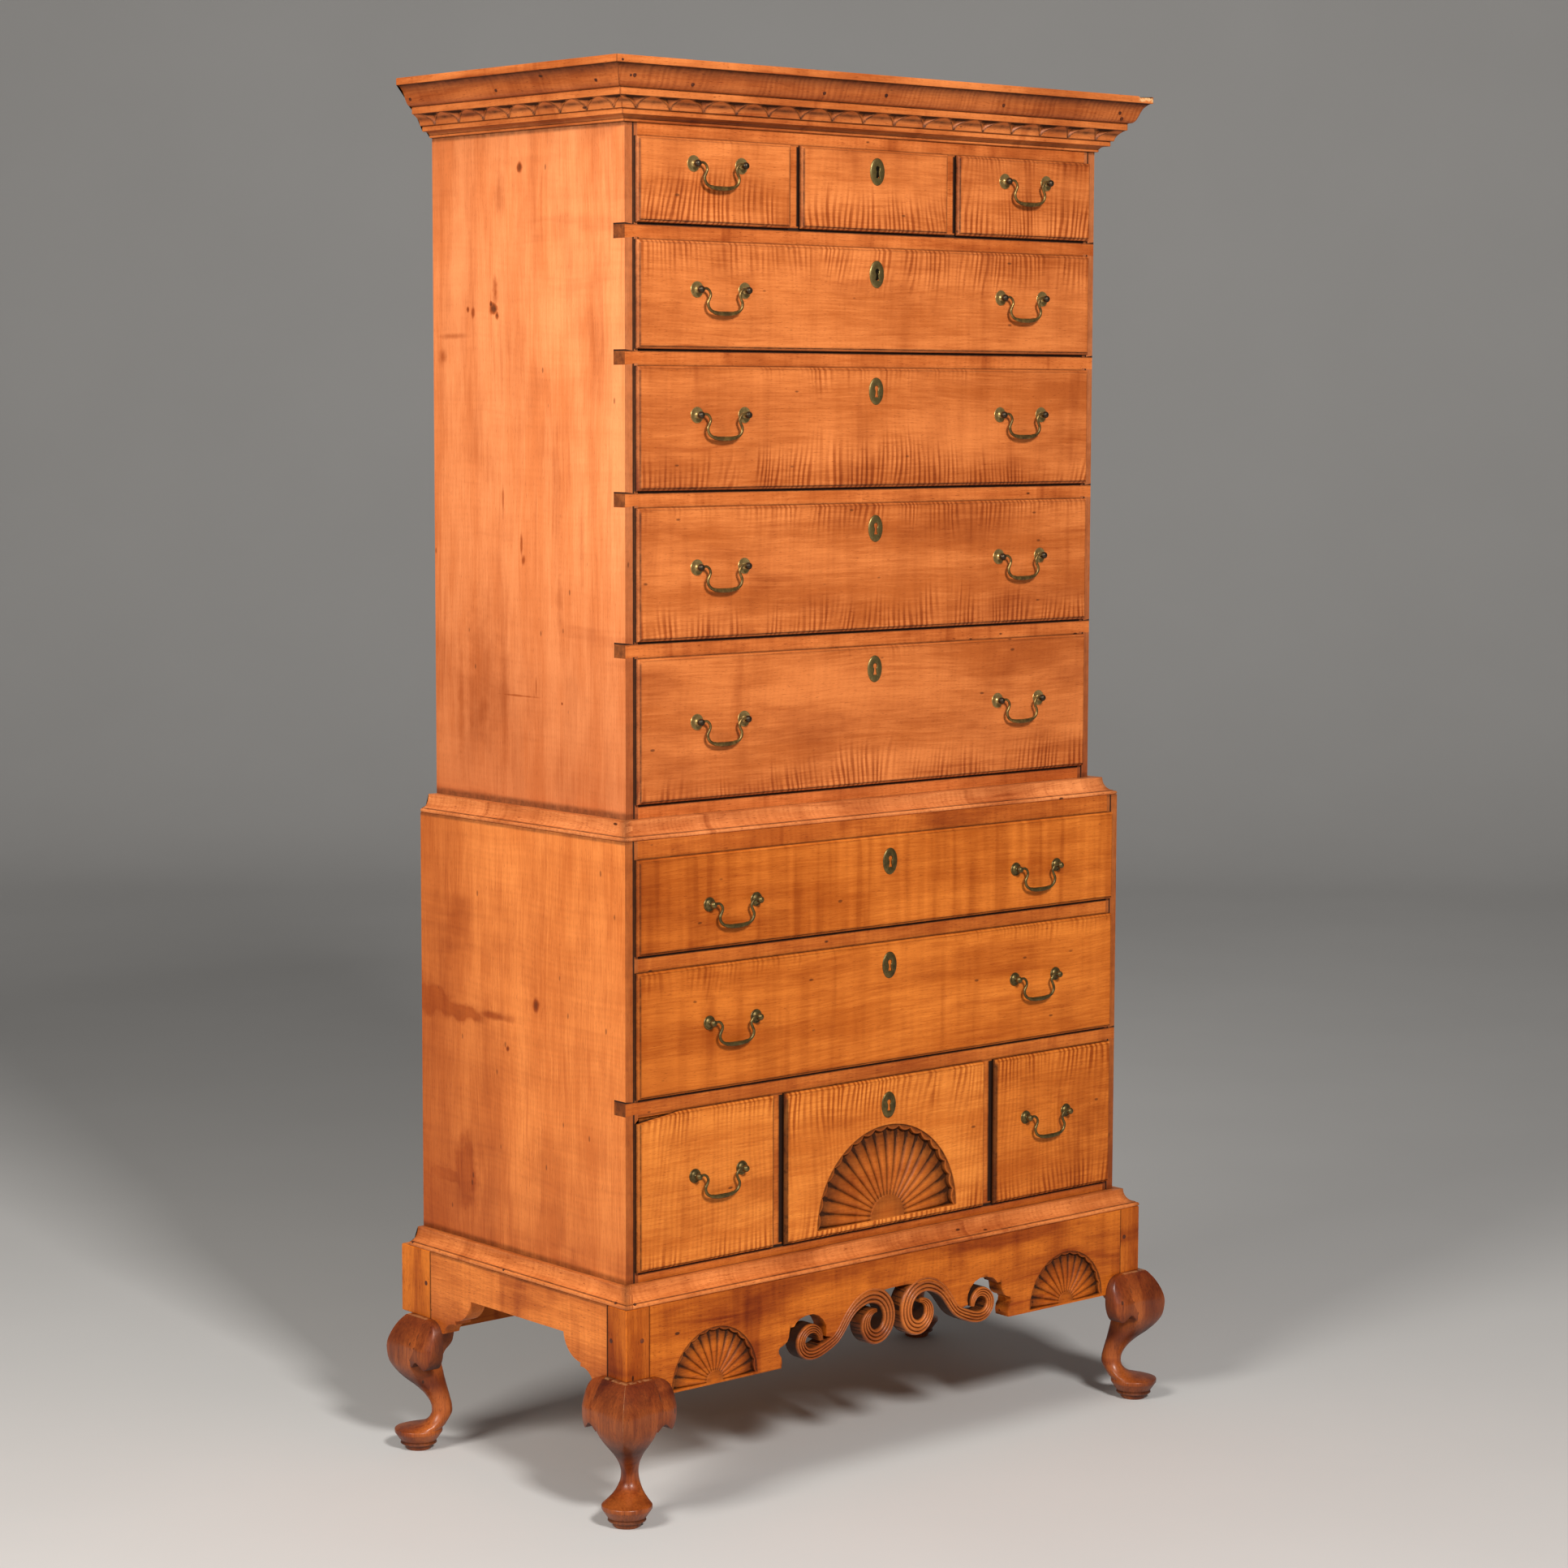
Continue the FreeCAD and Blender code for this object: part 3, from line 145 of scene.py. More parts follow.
def eased_board(x, y, z, ease=0.8, margin=2.0):
    """A board with eased edges, as rings up its height: an inset ring, a full one, a full one
    and an inset one, each a rectangle with bevelled corners and points beside them, and a point
    to close each end."""
    (x0, x1), (y0, y1), (z0, z1) = x, y, z

    def ring(level, inset):
        near, far = ease + inset, ease + inset + margin
        a, b, c, d = x0 + inset, x1 - inset, y0 + inset, y1 - inset
        flat = [(a + near, c), (a + far, c), (b - far, c), (b - near, c)]
        flat += [(b, c + near), (b, c + far), (b, d - far), (b, d - near)]
        flat += [(b - near, d), (b - far, d), (a + far, d), (a + near, d)]
        flat += [(a, d - near), (a, d - far), (a, c + far), (a, c + near)]
        return [(u, v, level) for u, v in flat + flat[:1]]

    low, high = [[((x0 + x1) / 2, (y0 + y1) / 2, level)] * 17 for level in (z0, z1)]
    rings = [ring(z0, ease), ring(z0 + ease, 0), ring(z1 - ease, 0), ring(z1, ease)]
    return np.array([low] + rings + [high])


class Wire:
    """What a shader node gives out. Reckoning with wires adds nodes to their tree."""

    def __init__(self, tree, socket):
        self.tree, self.socket = tree, socket

    def beside(self, output):
        """Another output of the same node."""
        return Wire(self.tree, self.socket.node.outputs[output])

    def maths(self, operation, other=0.0):
        """A sum, product or the like with another wire or a number."""
        return add(self.tree, "Math", {0: self, 1: other}, operation=operation)

    def vector(self, operation, other):
        """The same for a vector, axis by axis."""
        return add(self.tree, "VectorMath", {0: self, 1: other}, operation=operation)

    def __add__(self, other):
        return self.maths("ADD", other)

    def __sub__(self, other):
        return self.maths("SUBTRACT", other)

    def __mul__(self, other):
        return self.maths("MULTIPLY", other)

    def most(self, other):
        """The greater of two."""
        return self.maths("MAXIMUM", other)

    def least(self, other):
        """The lesser of two."""
        return self.maths("MINIMUM", other)

    def axes(self):
        """A vector's three axes."""
        first = add(self.tree, "SeparateXYZ", {0: self})
        return [first.beside(k) for k in range(3)]

    def ramp(self, low, high, to_low=0.0, to_high=1.0):
        """A smooth step from low to high."""
        limits = {"Value": self, "From Min": low, "From Max": high, "To Min": to_low, "To Max": to_high}
        return add(self.tree, "MapRange", limits, interpolation_type="SMOOTHSTEP")

    def noise(self, scale, detail=2.0, rough=0.5):
        """Cloudy noise over a place, drawn out by a scale for each axis."""
        stretched = self.vector("MULTIPLY", scale)
        settings = {"Vector": stretched, "Scale": 1.0, "Detail": detail, "Roughness": rough}
        return add(self.tree, "TexNoise", settings)


def feed(node, inputs):
    """Set a node's inputs, by socket name or number, to a wire or a value; colours are opaque."""
    for key, value in inputs.items():
        socket = node.inputs[key]
        if isinstance(value, Wire):
            value.tree.links.new(value.socket, socket)
        else:
            socket.default_value = (*value, 1) if socket.type == "RGBA" else value


def add(tree, kind, inputs=(), give=0, **settings):
    """One shader node with its settings and inputs; returns one of its outputs."""
    made = tree.nodes.new("ShaderNode" + kind)
    for key, value in settings.items():
        setattr(made, key, value)
    feed(made, dict(inputs))
    return Wire(tree, made.outputs[give])


def mix(tree, factor, one, two, mode="MIX"):
    """A colour between two."""
    return add(tree, "Mix", {0: factor, 6: one, 7: two}, 2, data_type="RGBA", blend_type=mode)


def figured_wood_group():
    """Figured maple under old shellac. Fibres are noise drawn out along the grain. Curl is a sine
    along it, leaning and drifting slowly, broken into patches; below nought, Curl stands for a
    broad soft figure instead. Flecks, dents, runs and stain darken the wood in places; grime and
    painted shade darken it nearly to black, and wear and painted highlights lighten it."""
    group = bpy.data.node_groups.new("figured wood", "ShaderNodeTree")
    for way, kind, labels in (
        ("INPUT", "Vector", ["Grain"]), ("INPUT", "Color", ["Light", "Deep"]),
        ("INPUT", "Float", ["Curl", "Grime_and_shade", "Stain_and_shade", "Wear_and_highlight", "Age"]),
        ("OUTPUT", "Color", ["Colour"]), ("OUTPUT", "Float", ["Roughness", "Height"]),
    ):
        for label in labels:
            group.interface.new_socket(name=label, in_out=way, socket_type="NodeSocket" + kind)
    entry, leave = group.nodes.new("NodeGroupInput"), group.nodes.new("NodeGroupOutput")
    grain, light, deep, curly, grime_and_shade, stain, wear, age = [Wire(group, entry.outputs[k]) for k in range(8)]

    def shaded(factor, colour, tint):
        return mix(group, factor, colour, mix(group, 1.0, colour, tint, "MULTIPLY"))

    def aged(value, factor):
        return (value * factor * age).least(0.95)

    sway = (grain.noise((2.4, 6, 6), 2) - 0.5) * 0.03
    wavy = grain.vector("ADD", add(group, "CombineXYZ", {"Y": sway}))
    fibre = wavy.noise((16, 340, 340), 4, 0.68)
    bands = wavy.noise((1.8, 22, 22), 3, 0.55)
    clouds = grain.noise((5, 10, 10), 3, 0.6)
    tone = fibre * 0.32 + (bands * 0.36 + clouds * 0.32)
    colour = mix(group, tone.ramp(0.38, 0.62), deep, light)
    along, across, _ = grain.axes()
    drift = grain.noise((5, 3.8, 3.8), 1) * 0.075
    jitter = grain.noise((36, 6, 6), 2) * 0.017
    place = along + across * -0.05 + (drift + jitter)
    wave = (place * (2 * math.pi / CURL_PITCH)).maths("SINE")
    curling = curly.most(0.0)
    strength = grain.noise((26, 7, 7), 2).ramp(0.27, 0.60) * curling
    curl = (wave.ramp(-0.5, 0.9) * strength).least(0.95)
    gleam = (wave.ramp(0.1, -1.0) * strength).least(0.8)
    soft = grain.noise((58, 3.5, 3.5), 1)
    breadth = (curly * -1.0).most(0.0) + (curling * 2.0).least(0.16)
    colour = shaded(soft.ramp(0.5, 0.68) * breadth, colour, (0.58, 0.43, 0.32))
    colour = shaded(soft.ramp(0.5, 0.32) * breadth, colour, (1.25, 1.35, 1.5))
    colour = shaded(curl, colour, (0.52, 0.37, 0.26))
    colour = shaded(gleam, colour, (1.10, 1.16, 1.25))
    flecks = wavy.noise((110, 1000, 1000), 2, 0.6).ramp(0.58, 0.72)
    colour = shaded(aged(flecks, 0.55), colour, (0.45, 0.32, 0.25))
    runs = grain.noise((24, 3, 3), 3, 0.6).ramp(0.58, 0.74)
    colour = shaded(aged(runs, 0.4), colour, (0.60, 0.44, 0.34))
    drawn_out = wavy.vector("MULTIPLY", (0.55, 1.25, 1.25))
    cells = add(group, "TexVoronoi", {"Vector": drawn_out, "Scale": 34.0}, "Distance")
    chance = add(group, "SeparateColor", {0: cells.beside("Color")})
    dents = cells.ramp(0.105, 0.05) * chance.ramp(0.66, 0.72)
    colour = mix(group, aged(dents, 0.7), colour, (0.09, 0.025, 0.008))
    handled = grain.noise((6, 6, 6), 3, 0.6)
    colour = shaded(aged(handled.ramp(0.48, 0.72), 0.45), colour, (0.62, 0.48, 0.36))
    smoke = wavy.noise((3.2, 15, 15), 4, 0.62).ramp(0.46, 0.74)
    colour = shaded(aged(smoke, 0.6), colour, (0.62, 0.47, 0.36))
    streaks = wavy.noise((4.5, 90, 90), 3, 0.6).ramp(0.52, 0.70)
    patchy = grain.noise((4, 14, 14), 2).ramp(0.42, 0.62)
    colour = shaded(aged(streaks * patchy, 0.5), colour, (0.66, 0.50, 0.38))
    # Stain darkens the wood; on the case's boards it also carries painted shade.
    colour = shaded(stain, colour, (0.50, 0.34, 0.22))
    # Wear lightens the finish; along the knee's ridge this is a painted highlight.
    rubbed_and_highlit = wear * grain.noise((160, 160, 160), 3).ramp(0.35, 0.6)
    colour = mix(group, rubbed_and_highlit, colour, (0.80, 0.44, 0.19))
    mottled = grain.noise((90, 90, 90), 3, 0.65).ramp(0.25, 0.75, 0.65, 1.0)
    # Grime and painted shade: real dirt, and shade painted into creases, gaps, hollows and under lips and
    # mouldings, darken the colour nearly to black.
    dirt_and_shade = grime_and_shade * mottled.most(grime_and_shade.ramp(0.82, 0.95))
    colour = mix(group, dirt_and_shade, colour, (0.020, 0.007, 0.003))
    sheen = handled * 0.26 + 0.28 + dirt_and_shade * 0.3
    height = fibre * 0.4 + handled * 1.6 - dents * 0.6 - curl * 0.12
    feed(leave, {"Colour": colour, "Roughness": sheen, "Height": height})
    return group


CURL_PITCH = 0.0095
figured_wood = figured_wood_group()
MAPLE_LIGHT = (0.76, 0.230, 0.058)
MAPLE_DEEP = (0.50, 0.122, 0.023)


def new_material(name):
    """A new material, with its node tree and its shader."""
    material = bpy.data.materials.new(name)
    material.use_nodes = True
    return material, material.node_tree, material.node_tree.nodes["Principled BSDF"]


def finish_wood(tree, shader, settings, shellac=0.03, shine=0.2):
    """Figured wood on a shader: colour, roughness, bump, and a thin coat of shellac."""
    wood = add(tree, "Group", settings, "Colour", node_tree=figured_wood)
    bump = add(tree, "Bump", {"Height": wood.beside("Height"), "Strength": 0.35, "Distance": 0.0005})
    feed(shader, {"Base Color": wood, "Roughness": wood.beside("Roughness"), "Normal": bump})
    feed(shader, {"Coat Weight": shellac, "Coat Roughness": 0.2, "Specular IOR Level": shine})


def worked_maple(name, light, deep, shellac=0.03, shine=0.2, age=1.0):
    """Maple on a shaped piece, which carries its own grain, finish and edge distances. Figure
    is strongest along the foot and head of a board."""
    material, tree, shader = new_material(name)
    grain, finish, edges = [
        add(tree, "Attribute", give="Vector", attribute_name=label) for label in ("grain", "finish", "edges")
    ]
    curl, grime_and_shade, stain = finish.axes()
    foot, head, wear = edges.axes()
    ragged = grain.noise((85, 3, 3), 1) * 0.075
    wander = grain.noise((3, 2, 2), 2) * 0.13 + ragged - 0.06
    band = (wander - foot).ramp(-0.025, 0.03) * 0.9 + (wander - head).ramp(-0.01, 0.04) * 0.75
    settings = {"Grain": grain, "Light": light, "Deep": deep, "Curl": curl + band, "Age": age}
    settings.update({"Grime_and_shade": grime_and_shade, "Stain_and_shade": stain, "Wear_and_highlight": wear})
    finish_wood(tree, shader, settings, shellac, shine)
    return material


stained_maple = worked_maple("stained maple", (0.43, 0.105, 0.018), (0.19, 0.040, 0.0065), 0.18, 0.3, 2.0)
scroll_maple = worked_maple("scroll maple", (0.60, 0.165, 0.027), (0.34, 0.082, 0.011), 0.1, 0.25, 1.6)
maple = worked_maple("figured maple", MAPLE_LIGHT, MAPLE_DEEP)
aged_maple = worked_maple("aged maple", MAPLE_LIGHT, MAPLE_DEEP, age=1.6)
amber_maple = worked_maple("amber maple", (0.78, 0.226, 0.032), (0.50, 0.115, 0.012), 0.0, 0.12)
golden_maple = worked_maple("golden maple", (0.86, 0.275, 0.046), (0.60, 0.155, 0.020), 0.0, 0.12)
stand_maple = worked_maple("aged amber maple", (0.82, 0.230, 0.023), (0.50, 0.112, 0.008), 0.0, 0.15, 1.9)

FLANKS = ((-1, "left"), (1, "right"))
POST_X, POST_Y, POST_HALF, REAR_POST_EXTRA = 488.5, 231.0, 21.0, 31.0
FRAME_TOP, KNEE_TOP = 304.0, 204.0
# Height; outer edge, inner edge and half breadth on the diagonal; and roundness from 1, sawn
# square with a ridge, to 2, shaved round.
LEG_ROWS = [
    (204, 33, -29.7, 31, 1), (203, 40, -29.7, 34.5, 1.03), (196, 49, -29.7, 39.3, 1.06),
    (180, 62, -29.7, 45.8, 1.08), (162, 70.3, -26, 51, 1.04), (147, 71, -15, 45.2, 1.05),
    (132, 67.5, -10.5, 41, 1.15), (119, 58, -12.6, 34.5, 1.35), (108, 45.5, -15, 27.5, 1.55),
    (95, 27, -18.2, 20, 1.8), (80, 12, -22.3, 14.2, 2), (66, 5, -25.6, 12.2, 2), (57, 4.5, -26, 13.2, 2),
    (48, 8.5, -22, 16.5, 2), (40.5, 19, -17.6, 21.5, 2), (36.2, 36, -15, 26.8, 2),
    (33.4, 51, -12.4, 31.2, 2), (31.2, 59.2, -10.2, 34.7, 2),
]
# The turned foot below: height and radius about a centre further out.
FOOT_ROWS = [
    (30.6, 35.2), (30, 35.4), (26, 35.4), (25.2, 35), (22.5, 33), (19.2, 30.8), (15.5, 28.2), (12.6, 26),
    (12, 25.4), (10.8, 26.6), (9.2, 26.9), (8, 25.2), (7.4, 22), (6.6, 20.6), (3, 19.8), (0.8, 18.9),
    (0, 18),
]
FOOT_CENTRE = 24.5
KNEE_X, KNEE_Y = 540.4, 282.9
# Turns round a leg, closer together at the ridge.
LEG_TURN = np.linspace(-1, 1, 61)[None, :]
LEG_TURN = math.pi * (0.55 * LEG_TURN + 0.45 * LEG_TURN**3)


def bump_at(values, middle, breadth):
    """A bell curve of one about a middle."""
    return np.exp(-(((values - middle) / breadth) ** 2))


def slope_from(values, start, length):
    """From nought at a start to one a length further on, which may lie below the start."""
    return np.clip((values - start) / length, 0, 1)


def leg_surface(side, end):
    """A leg below its post: level rings whose plan is a superellipse, stretched along the
    diagonal, from the knee down the ankle to the foot, closed at the top and underneath."""
    shank = smooth_line(LEG_ROWS, 84)
    foot = np.array([(z, FOOT_CENTRE + r, FOOT_CENTRE - r, r, 2.0) for z, r in FOOT_ROWS])
    top = shank[:1] * [1, 0, 0, 0, 1]
    sole = foot[-1:] * [1, 0, 0, 0, 1] + [0, FOOT_CENTRE, FOOT_CENTRE, 0, 0]
    rows = np.concatenate([top, shank, foot, sole])
    z, outer, inner, half, roundness = [column[:, None] for column in rows.T]
    power = 2 / np.maximum(roundness, 1)
    c, s = np.cos(LEG_TURN), np.sin(LEG_TURN)
    along = (outer + inner) / 2 + (outer - inner) / 2 * np.sign(c) * np.abs(c) ** power
    beside = half * np.sign(s) * np.abs(s) ** power
    x = side * POST_X + (along * side - beside * end) * math.sqrt(0.5)
    y = end * POST_Y + (along * end + beside * side) * math.sqrt(0.5)
    return np.stack([np.clip(x, -KNEE_X, KNEE_X), np.clip(y, -KNEE_Y, KNEE_Y), z + 0 * c], -1)


for side, flank in FLANKS:
    for end, place in ((-1, "front"), (1, "rear")):
        number = 3 + side + (end + 1) * 2
        shank = leg_surface(side, end)
        z = shank[..., 2]
        # Painted shade darkens the ankle under the knee, more on the side facing out, and the foot at its
        # shoe ring and towards the sole.
        ankle_shade = bump_at(z, 106, 14) * 0.6 * (0.55 + 0.45 * np.cos(LEG_TURN))
        foot_shade = bump_at(z, 11, 4) * 0.6 + slope_from(z, 26, -26) * 0.25
        stain = 0.95 * bump_at(z, 103, 15) + 0.8 * slope_from(z, 155, 40)
        # A painted highlight runs down the knee's ridge; a pale line at the knee's top joins it.
        ridge_highlight = bump_at(np.sin(LEG_TURN / 2), 0, 0.012) * slope_from(z, 125, 20) * 0.7
        rub_and_highlight = ridge_highlight + bump_at(z, 203.4, 0.5) * 0.3
        breadth = (side * POST_X - POST_HALF, side * POST_X + POST_HALF)
        depth = (end * POST_Y - POST_HALF, end * POST_Y + POST_HALF + (REAR_POST_EXTRA if end > 0 else 0))
        post = eased_board(breadth, depth, (KNEE_TOP - 0.5, FRAME_TOP), 0.9)
        inner_x = np.abs(post[..., 0]) < POST_X - POST_HALF + 1.0
        inner_y = np.abs(post[..., 1]) < POST_Y - POST_HALF + 1.0
        seam = np.where(inner_x | inner_y, 0.8, 0.0) + slope_from(post[..., 2], 206, -4) * 0.2
        label = "%s_%s" % (place, flank)
        node = "leg_" + label
        wood = patch(shank, "z", number, 0.04, np.clip(ankle_shade + foot_shade, 0, 0.9), stain, wear=rub_and_highlight)
        piece("cabriole_leg_" + label, [wood], stained_maple, nodes=[node], crease=33)
        face_stain = np.where(np.abs(post[..., 0]) > POST_X + POST_HALF - 1.0, 0.3, 0.5) if end < 0 else 0.2
        wood = patch(post, "z", number, 0.05, seam, face_stain)
        piece("leg_post_" + label, [wood], stand_maple, nodes=[node])


# Knee brackets. Small leaves of stained maple glued and nailed to the aprons beside the knees,
# swelling like the knee and ending in a hooked tip with a round notch against the leg.

EAR_OUTLINE = [
    (4, 204), (12, 202.5), (19.5, 199), (25, 193), (28.7, 185), (30.7, 175), (31.3, 165), (30.4, 155),
    (28, 146), (24.4, 138.5), (20.8, 134), (18, 132.3), (15.5, 134), (12.5, 138.5), (9, 142), (4, 143),
    (-1, 141), (-5, 137), (-9, 133),
]
# How far each row of a leaf lies from its root to its rim, and how much of its height it has.
EAR_SHARE = np.array(
    [0, 0.04, 0.06, 0.08, 0.25, 0.4, 0.55, 0.7, 0.83, 0.92, 0.98, 1.0, 1.0, 0.5, 0.0]
)[None, :]
EAR_LIFT = np.array([1] * 10 + [0.99, 0.95, 0, 0, 0])[None, :]
EAR_GRIME = np.array([0.75, 0.6, 0.25] + [0.0] * 8 + [0.25, 0.6, 0.8, 0.8])[None, :]


def knee_flank(z):
    """Where the knee's flank ends at each height: how far it stands out from the apron's face,
    and how far along the apron from the post's inner side."""
    rows = np.array(LEG_ROWS)[::-1]
    outer, inner, half = [np.interp(z, rows[:, 0], rows[:, k]) for k in (1, 2, 3)]
    middle = (outer + inner) / 2
    return (middle + half) * math.sqrt(0.5) - POST_HALF, (half - middle) * math.sqrt(0.5) - POST_HALF


def with_ends(rings):
    """Close a row of rings at both ends by rings drawn in to a point."""
    caps = [np.broadcast_to(rings[k].mean(0), rings[k].shape)[None] for k in (0, -1)]
    return np.concatenate([caps[0], rings, caps[1]])


def ear_surface(side, end, along, out):
    """A leaf: lines from a root just inside the knee's flank to points round the outline. It
    carries on the knee's swelling, which falls away a little to a sawn edge."""
    rim = smooth_line(EAR_OUTLINE, 60)
    root_z = np.linspace(204, 136, 60)
    root = np.stack([knee_flank(root_z)[1] - 2.0, root_z], 1)
    run = root[:, :1] + (rim[:, :1] - root[:, :1]) * EAR_SHARE
    z = root[:, 1:] + (rim[:, 1:] - root[:, 1:]) * EAR_SHARE
    fall = np.sqrt(np.clip(1 - (np.clip(run + 2, 0, 41) / 42) ** 2.4, 0.03, 1))
    stand = np.minimum(np.maximum(knee_flank(z)[0], 1.5) * fall + 0.5, 30.8) * EAR_LIFT
    base = np.array([side * POST_X, end * POST_Y, 0]) + (along + out) * POST_HALF
    leaf = base + run[..., None] * along + stand[..., None] * out + z[..., None] * np.array([0, 0, 1.0])
    return with_ends(leaf)


leaves = []
for side in (-1, 1):
    inward, outward = np.array([-side, 0, 0.0]), np.array([side, 0, 0.0])
    forward, backward = np.array([0, -1.0, 0]), np.array([0, 1.0, 0])
    for end, along, out in ((-1, inward, forward), (-1, backward, outward), (1, forward, outward)):
        leaf = ear_surface(side, end, along, out)
        # Darker towards the leaf's lower tip.
        darker_below = np.clip((150 - leaf[..., 2]) / 30, 0, 0.5)
        stain = 0.3 + darker_below + 0.5 * slope_from(leaf[..., 2], 155, 40)
        leaves.append(patch(leaf, "z", 9 + len(leaves), 0.04, EAR_GRIME + darker_below * 0.5, stain))
piece("knee_brackets_carved", leaves, stained_maple, nodes=["knee_brackets"], crease=50)


# Front apron. One maple board between the front posts, sawn to a cyma outline, with a lobed fan
# carved into each end and a pierced pair of reeded S-scrolls in the middle.

APRON_FACE, APRON_BACK = -252.0, -224.0
APRON_HALF = 467.5
APRON_OUTLINE = [
    (-467.5, 304), (-467.5, 174), (-227, 174.5), (-225.6, 182), (-227, 190), (-231, 196), (-232, 201.5),
    (-229, 205), (-222, 207.5), (-216, 211.5), (-213, 217), (-212, 224), (-210, 231), (-203, 231),
    (-199, 236), (-192, 240.5), (-181, 243.6), (-167, 244), (-156, 240), (-147, 232), (-141.5, 223),
    (-140.5, 214), (-142, 207), (-128, 204), (-112, 213), (-100, 226), (-88, 240), (-76, 248.5), (-62, 254),
    (-44, 256), (-14, 258), (0, 258),
]
FAN_X, FAN_Z, FAN_COLUMNS = 350.0, 178.0, 14
# Radius of the fan and of its hub, how many rays, and how deep.
APRON_FAN = (77.0, 15.0, 13, 6.5)


def fan_relief(radius, hub, rays, deep):
    """A lobed half fan in its own plane. Columns run round the half circle, rings from the hub
    out. Each ray is a low round lobe between two V grooves and sinks towards the rim, where a
    gouge has cut a crescent into the rim over each ray. Returns plan and depth, and how dark:
    grime and painted shade in the grooves, the sunk ends and the crescents."""
    turn = np.linspace(0, 1, rays * FAN_COLUMNS + 1)[None, :]
    aside = np.abs(2 * np.mod(turn * rays, 1.0) - 1)
    bow = 1 - aside**2
    crescent = radius * 0.036
    rings = []

    def ring(*values):
        rings.append([np.broadcast_to(value, turn.shape) for value in values])

    # A flat hub, a step into the rays, the rays, their sunk ends, the crescents and the face.
    for share, depth, dark in ((0.0, 0.25, 0.05), (0.93, 0.25, 0.45), (1.0, 0.6, 0.45)):
        ring(hub * share, depth, dark)
    inner, outer = hub * 1.03, radius - crescent * 2.1
    for t in np.linspace(0, 1, 26):
        r = inner + (outer - inner) * t
        sink = deep * (0.34 + 0.26 * t + 0.40 * t**2)
        lobe = np.minimum(math.pi * r / rays * 0.34, deep * 0.5) * (1 - aside**2.2)
        groove = np.clip(aside - 0.5, 0, 1) / 0.5
        end = slope_from(t, 0.55, 0.45)
        # Grime and painted shade darken the grooves, the rays' sunk ends and the step at the hub.
        dark = 0.95 * groove**1.5 * (0.6 + 0.4 * t) + 0.76 * end**1.3 + 0.06 + 0.3 * (t < 0.05)
        ring(r - crescent * 0.9 * bow * t**6, sink - lobe * (1 - 0.55 * t**5), dark)
    edge = radius - crescent * (0.06 + bow)
    # The crescents cut into the rim and the step up to the face are darkened nearly to black: grime and
    # painted shade.
    for extra, depth, dark in (
        (-0.55, 1.0, 1.0), (-0.42, 0.3, 0.75), (-0.1, 0.22, 0.15), (0.0, 0.2, 0.3), (0.04, 0.2, 0.5),
    ):
        ring(edge + crescent * extra, deep * depth, dark)
    for extra, depth, dark in ((0.0, 0.2, 0.9), (0.7, 0.12, 0.95), (1.1, 0.0, 0.5), (2.2, 0.0, 0.02)):
        ring(radius + extra, deep * depth, dark)
    radii, depths, darks = np.concatenate(rings, axis=1)
    return radii * np.cos(math.pi * turn), radii * np.sin(math.pi * turn), depths, darks


def carved_fan(x, face, z, *sizes):
    """A half fan in a board's face, its straight foot closed at each end by a wall that rises from
    the rays to the face. Returns its points, how dark they are, and its outline in the face."""
    across, up, depth, dark = fan_relief(*sizes)
    left, right = across[:, :1], across[:, -1:]
    zero = np.zeros_like(left)
    across = np.concatenate([left, left, across, right, right], 1)
    up = np.concatenate([zero - 1.2, zero - 0.6, up, zero - 0.6, zero - 1.2], 1)
    depth = np.concatenate([zero, zero + 0.1, depth, zero + 0.1, zero], 1)
    dark = np.concatenate([zero, zero + 0.25, dark, zero + 0.25, zero], 1)
    fan = np.stack([x + across, face + depth, z + up], -1)
    rim = np.concatenate([fan[-1], fan[::-1, -1][1:], fan[:, 0][:-1]])[:, [0, 2]]
    apart = np.linalg.norm(np.diff(rim, axis=0), axis=1) > 1e-3
    return fan, np.clip(dark, 0, 1) * 0.95, rim[np.concatenate([[True], apart])]


def flat_face(outline, holes, y, step=0.0):
    """Fill an outline with round holes by triangles, and with a grid of points inside it where a
    step is given: returns points and faces."""
    corners = [Vector(p) for p in outline]
    edges = [(k, (k + 1) % len(outline)) for k in range(len(outline))]
    for hole in holes:
        start = len(corners)
        corners += [Vector(p) for p in hole]
        edges += [(start + k, start + (k + 1) % len(hole)) for k in range(len(hole))]
    if step:
        (x0, z0), (x1, z1) = np.min(outline, axis=0) + step / 2, np.max(outline, axis=0)
        corners += [Vector(p) for p in np.mgrid[x0:x1:step, z0:z1:step].reshape(2, -1).T]
    found, _, faces, _, _, _ = geometry.delaunay_2d_cdt(corners, edges, [], 2, 1e-4)
    points = np.array([(p.x, y, p.y) for p in found])
    kept = []
    for face in faces:
        x, _, z = points[list(face)].mean(0)
        if inside(x, z, outline) and not any(inside(x, z, hole) for hole in holes):
            kept.append(list(face))
    return points, kept


def inside(x, z, ring):
    """Whether a point lies in a ring: a line to its right crosses an odd number of edges."""
    ring = np.asarray(ring, float)
    a, b = ring, np.roll(ring, -1, axis=0)
    crosses = (a[:, 1] > z) != (b[:, 1] > z)
    with np.errstate(divide="ignore", invalid="ignore"):
        at = a[:, 0] + (z - a[:, 1]) / (b[:, 1] - a[:, 1]) * (b[:, 0] - a[:, 0])
    return bool(np.count_nonzero(crosses & (x < at)) % 2)


